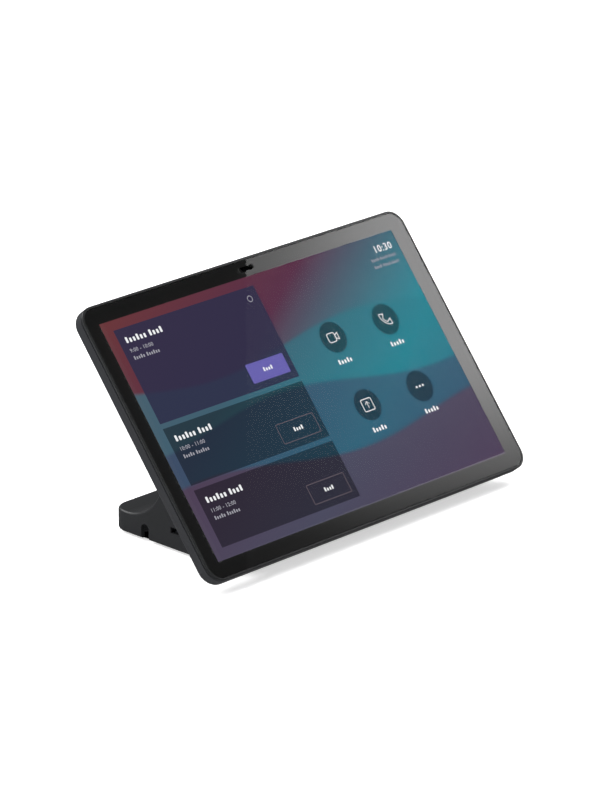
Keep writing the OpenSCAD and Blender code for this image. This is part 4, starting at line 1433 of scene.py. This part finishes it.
@dataclass
class DisplayRibbon:
    """The flat cable from the base to the head, with its conductors showing as fine ribs."""

    base: BaseFrame
    width: float = 20.0
    thickness: float = 0.3
    pitch: float = 1.0

    def path(self) -> list[Vector]:
        """The cable's route, evenly smoothed.

        Returns:
            Its (y, z) points in the base frame.
        """
        h, front = self.base.at_head, self.base.front_y
        rough = [h(-20.85, -6.7), h(-25, -6.7), h(-32, -7.2), h(-38.6, -7.5), h(-40.8, -8.5), h(-42, -10.1),
                 h(-42, -12.5), h(-42.6, -13.9), (front + 6.6, 12.0), (front + 7.2, 9.35),
                 (front + 7.2, 8.15)]
        return spline([Vector(p) for p in rough], 6)

    def build(self) -> None:
        """Sweep the cable's ribbed section along its route."""
        count = int(self.width / self.pitch)
        section = []
        for i in range(count * 4 + 1):
            x = -self.width / 2 + self.width * i / (count * 4)
            section.append((x, self.thickness / 2 * (0.78 + 0.22 * abs(math.sin(math.pi * i / 4)))))
        outline = section + [(x, -t) for x, t in reversed(section)]
        route = self.path()
        rings = []
        for i, p in enumerate(route):
            along = (route[min(i + 1, len(route) - 1)] - route[max(i - 1, 0)]).normalized()
            normal = Vector((-along.y, along.x))
            rings.append([Vector((x, p.x + normal.x * t, p.y + normal.y * t)) for x, t in outline])
        obj = as_object("display_cable", loft(rings), self.base.matrix)
        obj.data.materials.append(PET_WHITE.material())
        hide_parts("display_ribbon")
        start, end = self.base.at_head(-42.6, -14.2), self.base.at_head(-39.5, -8.0)
        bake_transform(obj)
        log.info("display_cable: %d faces, bends from base to head", len(obj.data.polygons))


def reset_button() -> None:
    """The recessed button: a short pin with a domed tip."""
    low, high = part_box("reset_button")
    half, r = (high.z - low.z) / MM / 2, (high.x - low.x) / 2 / MM
    profile = [(r * 0.55, -half), (r * 0.9, -half + 0.08), (r, -half + 0.22), (r, half)]
    place = Matrix.Translation((low + high) / 2) @ Matrix.Scale(MM, 4)
    obj = as_object("reset_pin", turned(profile, 32), place)
    dress(obj, "reset", [IVORY.material()], ["reset_button"])


def dress_nodes() -> None:
    """Give each CAD node the finish of its slot."""
    for part in frame["record"]["subparts"]:
        mesh = frame["nodes"][part["node"]].data
        mesh.materials.clear()
        mesh.materials.append(SLOT_FINISH[part["material_slot"]].material())


# ---------------------------------------------------------------- studio

def one_sided(tree: bpy.types.NodeTree, surface: Socket) -> Socket:
    """Make a stage surface clear from below, so that the object's underside can be looked at.

    Args:
        tree: Tree of the material.
        surface: The shader seen from above.

    Returns:
        The shader of both sides.
    """
    clear = add(tree, "ShaderNodeBsdfTransparent", values={"Color": WHITE})
    side = add(tree, "ShaderNodeNewGeometry").outputs["Backfacing"]
    return add(tree, "ShaderNodeMixShader", {0: side, 1: surface, 2: clear.outputs[0]}).outputs[0]


@dataclass
class Studio:
    """Camera, pale floor and soft light."""

    head: HeadFrame
    azimuth: float = -46.0
    elevation: float = 19.94
    distance: float = 2011.4
    shift_right: float = 3.7
    shift_up: float = 4.4
    lens: float = 218.75
    table_margin: float = 3.5
    card_behind: float = 900.0
    card_across: Point = (-26.0, 240.0)
    card_up: Point = (-170.0, 150.0)

    def axes(self) -> tuple[Vector, Vector, Vector]:
        """The directions of the view.

        Returns:
            The camera's right, up and backward.
        """
        a, e = math.radians(self.azimuth), math.radians(self.elevation)
        back = Vector((math.sin(a) * math.cos(e), -math.cos(a) * math.cos(e), math.sin(e)))
        right = Vector((math.cos(a), math.sin(a), 0))
        return right, back.cross(right), back

    def eye(self) -> Vector:
        """The camera's place."""
        right, up, back = self.axes()
        return self.head.origin + (back * self.distance - right * self.shift_right - up * self.shift_up) * MM

    def camera(self) -> None:
        """Place the camera."""
        data = bpy.data.cameras.new("camera")
        data.lens, data.sensor_width, data.clip_start, data.clip_end = self.lens, 36.0, 0.05, 50.0
        obj = bpy.data.objects.new("camera", data)
        bpy.context.scene.collection.objects.link(obj)
        obj.matrix_world = Matrix.Translation(self.eye()) @ Matrix(self.axes()).transposed().to_4x4()
        bpy.context.scene.camera = obj

    def lamp(self, name: str, spot: Sequence[float], aim: Sequence[float], size: tuple[float, float],
             power: float) -> bpy.types.Object:
        """Add a soft box.

        Args:
            name: Name of the lamp.
            spot: Its place.
            aim: The point it faces.
            size: Its width and height in metres.
            power: Its power in watts.

        Returns:
            The lamp.
        """
        data = bpy.data.lights.new(name, "AREA")
        data.shape, data.size, data.size_y, data.energy = "RECTANGLE", size[0], size[1], power
        obj = bpy.data.objects.new(name, data)
        bpy.context.scene.collection.objects.link(obj)
        way = Vector(aim) - Vector(spot)
        obj.matrix_world = Matrix.Translation(spot) @ way.to_track_quat("-Z", "Y").to_matrix().to_4x4()
        return obj

    def table(self, opening: Sequence[Point]) -> bpy.types.Object:
        """A wide pale table, cut away under the base so that its light stays out of the base's openings.

        Args:
            opening: Outline of the cut.

        Returns:
            The table.
        """
        bm = bmesh.new()
        for outline in (rounded_outline(8, 8, 0.5, 2), opening):
            ring = [bm.verts.new((x, y, -0.05 * MM)) for x, y in outline]
            for i, vert in enumerate(ring):
                bm.edges.new((vert, ring[i - 1]))
        bmesh.ops.triangle_fill(bm, use_beauty=True, edges=bm.edges)
        for face in bm.faces:
            face.normal_update()
            if face.normal.z < 0:
                face.normal_flip()
        obj = as_object("table", bm, Matrix.Identity(4))
        material, tree, out = new_material("matt_white_laminate")
        # It gives off some light, as a light table does, so that shadows stay pale.
        face = add(tree, "ShaderNodeBsdfPrincipled", {"Base Color": mottled(tree, 3, "#fbfbfb", "#f8f8f8")},
                   {"Roughness": 0.9, "Specular IOR Level": 0.0, "Emission Color": WHITE,
                    "Emission Strength": 0.58})
        tree.links.new(one_sided(tree, face.outputs[0]), out.inputs[0])
        obj.data.materials.append(material)
        obj.visible_glossy = False
        return obj

    def shade_card(self, outline: Sequence[Point]) -> bpy.types.Object:
        """A black sheet of painted shade, standing in for the deep shade under the base: it closes the
        table's opening to the eye, but casts no shadow on the underside.

        Args:
            outline: Its outline.

        Returns:
            The sheet.
        """
        sheet = bmesh.new()
        sheet.faces.new([sheet.verts.new((x, y, -0.08 * MM)) for x, y in outline])
        obj = as_object("painted_shade_sheet", sheet, Matrix.Identity(4))
        material, tree, out = new_material("painted_shade_black")
        # Painted shade: a near-black fill where the base's hollow lies in shade, seen through its openings.
        fibre = add(tree, "ShaderNodeBsdfDiffuse", {"Color": mottled(tree, 1.5, "#050505", "#090909")})
        tree.links.new(one_sided(tree, fibre.outputs[0]), out.inputs[0])
        obj.data.materials.append(material)
        obj.visible_shadow = False
        return obj

    def surround(self) -> bpy.types.Object:
        """A white surround, far behind everything, that only the camera sees.

        Returns:
            The surround.
        """
        bm = bmesh.new()
        bmesh.ops.create_icosphere(bm, subdivisions=3, radius=12.0)
        bmesh.ops.reverse_faces(bm, faces=bm.faces)
        obj = as_object("surround", bm, Matrix.Identity(4), 90)
        material, tree, out = new_material("white_surround")
        light = add(tree, "ShaderNodeEmission", values={"Color": WHITE, "Strength": 1.0})
        tree.links.new(light.outputs[0], out.inputs[0])
        obj.data.materials.append(material)
        for ray in ("diffuse", "glossy", "transmission", "volume_scatter", "shadow"):
            setattr(obj, "visible_" + ray, False)
        return obj

    def floor(self) -> None:
        """The table, the black sheet of painted shade in its opening and the surround."""
        low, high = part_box("base_shell")
        middle = (0, (low.y + high.y) / 2)
        size = [high[i] - low[i] - 2 * self.table_margin * MM for i in (0, 1)]
        obj = self.table(rounded_outline(*size, 6 * MM, 6, middle))
        # Painted shade: a black sheet under the base.
        shade_card = self.shade_card(rounded_outline(*[side + 2 * MM for side in size], 7 * MM, 6, middle))
        dome = self.surround()

    def card(self) -> None:
        """A graded white card whose mirror image lies across the right part of the glass."""
        right, up, _ = self.axes()
        origin, n, eye = self.head.origin, self.head.normal, self.eye()
        scale = (self.distance + self.card_behind) / self.distance
        bm = bmesh.new()
        layer = bm.loops.layers.uv.new("Card")
        corners = ((0, 0), (1, 0), (1, 1), (0, 1))
        verts = []
        # Corners of the mirror image, across and up the view at the glass, then pushed back behind it.
        for u, v in corners:
            seen = origin + (right * self.card_across[u] + up * self.card_up[v]) * MM
            image = eye + (seen - eye) * scale
            verts.append(bm.verts.new(image - 2 * (image - origin).dot(n) * n))
        for loop, corner in zip(bm.faces.new(verts).loops, corners):
            loop[layer].uv = corner
        obj = as_object("graded_card", bm, Matrix.Identity(4))
        material, tree, out = new_material("graded_soft_box")
        flat = add(tree, "ShaderNodeUVMap", uv_map="Card").outputs[0]
        axes = add(tree, "ShaderNodeSeparateXYZ", {0: flat})
        # It brightens upwards from a third of its height, and to the right over its first quarter.
        rise, run = (add(tree, "ShaderNodeMapRange", {"Value": axes.outputs[axis]}, span,
                         interpolation_type="SMOOTHSTEP").outputs[0]
                     for axis, span in ((1, {"From Min": 0.33, "From Max": 0.6, "To Min": 0.1}),
                                        (0, {"From Max": 0.25, "To Min": 2.1, "To Max": 5.2})))
        shine = add(tree, "ShaderNodeMath", {0: rise, 1: run}, operation="MULTIPLY")
        light = add(tree, "ShaderNodeEmission", {"Strength": shine.outputs[0]}, {"Color": WHITE})
        tree.links.new(light.outputs[0], out.inputs[0])
        obj.data.materials.append(material)
        obj.visible_camera = obj.visible_shadow = False

    def light(self) -> None:
        """Soft boxes high at the right, at the left, behind and below, and a dim room."""
        key = self.lamp("key_right", (1.0, 0.0, 1.5), (0, 0, 0), (1.3, 1.3), 42)
        self.lamp("rear_left", (-0.6, 1.15, 1.2), (0, 0, 0), (1.1, 0.9), 28)
        self.lamp("left_strip", (-1.3, 0.1, 0.6), (0, 0, 0.05), (0.5, 1.1), 6.5)
        below = self.lamp("from_below", (0.0, -0.1, -0.5), (0, 0, 0), (0.6, 0.6), 6)
        key.visible_glossy = below.visible_glossy = False
        world = bpy.data.worlds.new("room")
        world.use_nodes = True
        air = world.node_tree.nodes["Background"].inputs
        air[0].default_value, air[1].default_value = WHITE, 0.16
        bpy.context.scene.world = world
        bpy.context.scene.view_settings.view_transform = "Standard"

    def build(self) -> None:
        """Set up the whole studio."""
        self.camera()
        self.floor()
        self.card()
        self.light()


def main() -> None:
    """Build the console's looks in order."""
    logging.basicConfig(level=logging.INFO, format="%(name)s %(message)s")
    head = HeadFrame()
    base = BaseFrame(head)
    Studio(head).build()
    dress_nodes()
    ScreenPicture(head).build()
    ScreenHead(head).build()
    WedgeBase(base).build()
    down, out = Vector((0, 0, -1)), -head.normal
    for screws in (ScrewSet("floor_screws", "base", "dark_screw", BLACK_ZINC, down, 2.0, 0.8, 1.0, 7.0),
                   ScrewSet("io_board_screws", "base", "screw_steel", NICKEL, -down, 1.6, 0.7, 0.8, 3.0),
                   ScrewSet("hinge_screws_base", "base", "screw_steel", NICKEL, -down, 1.9, 0.8, 1.0, 2.7),
                   ScrewSet("hinge_screws_head", "head", "screw_steel", NICKEL, out, 1.9, 0.75, 1.0, 1.9),
                   ScrewSet("board_screws", "head", "screw_steel", NICKEL, -out, 1.9, 0.7, 1.0, 2.4)):
        screws.build()
    DisplayRibbon(base).build()
    reset_button()


if __name__ == "__main__":
    main()
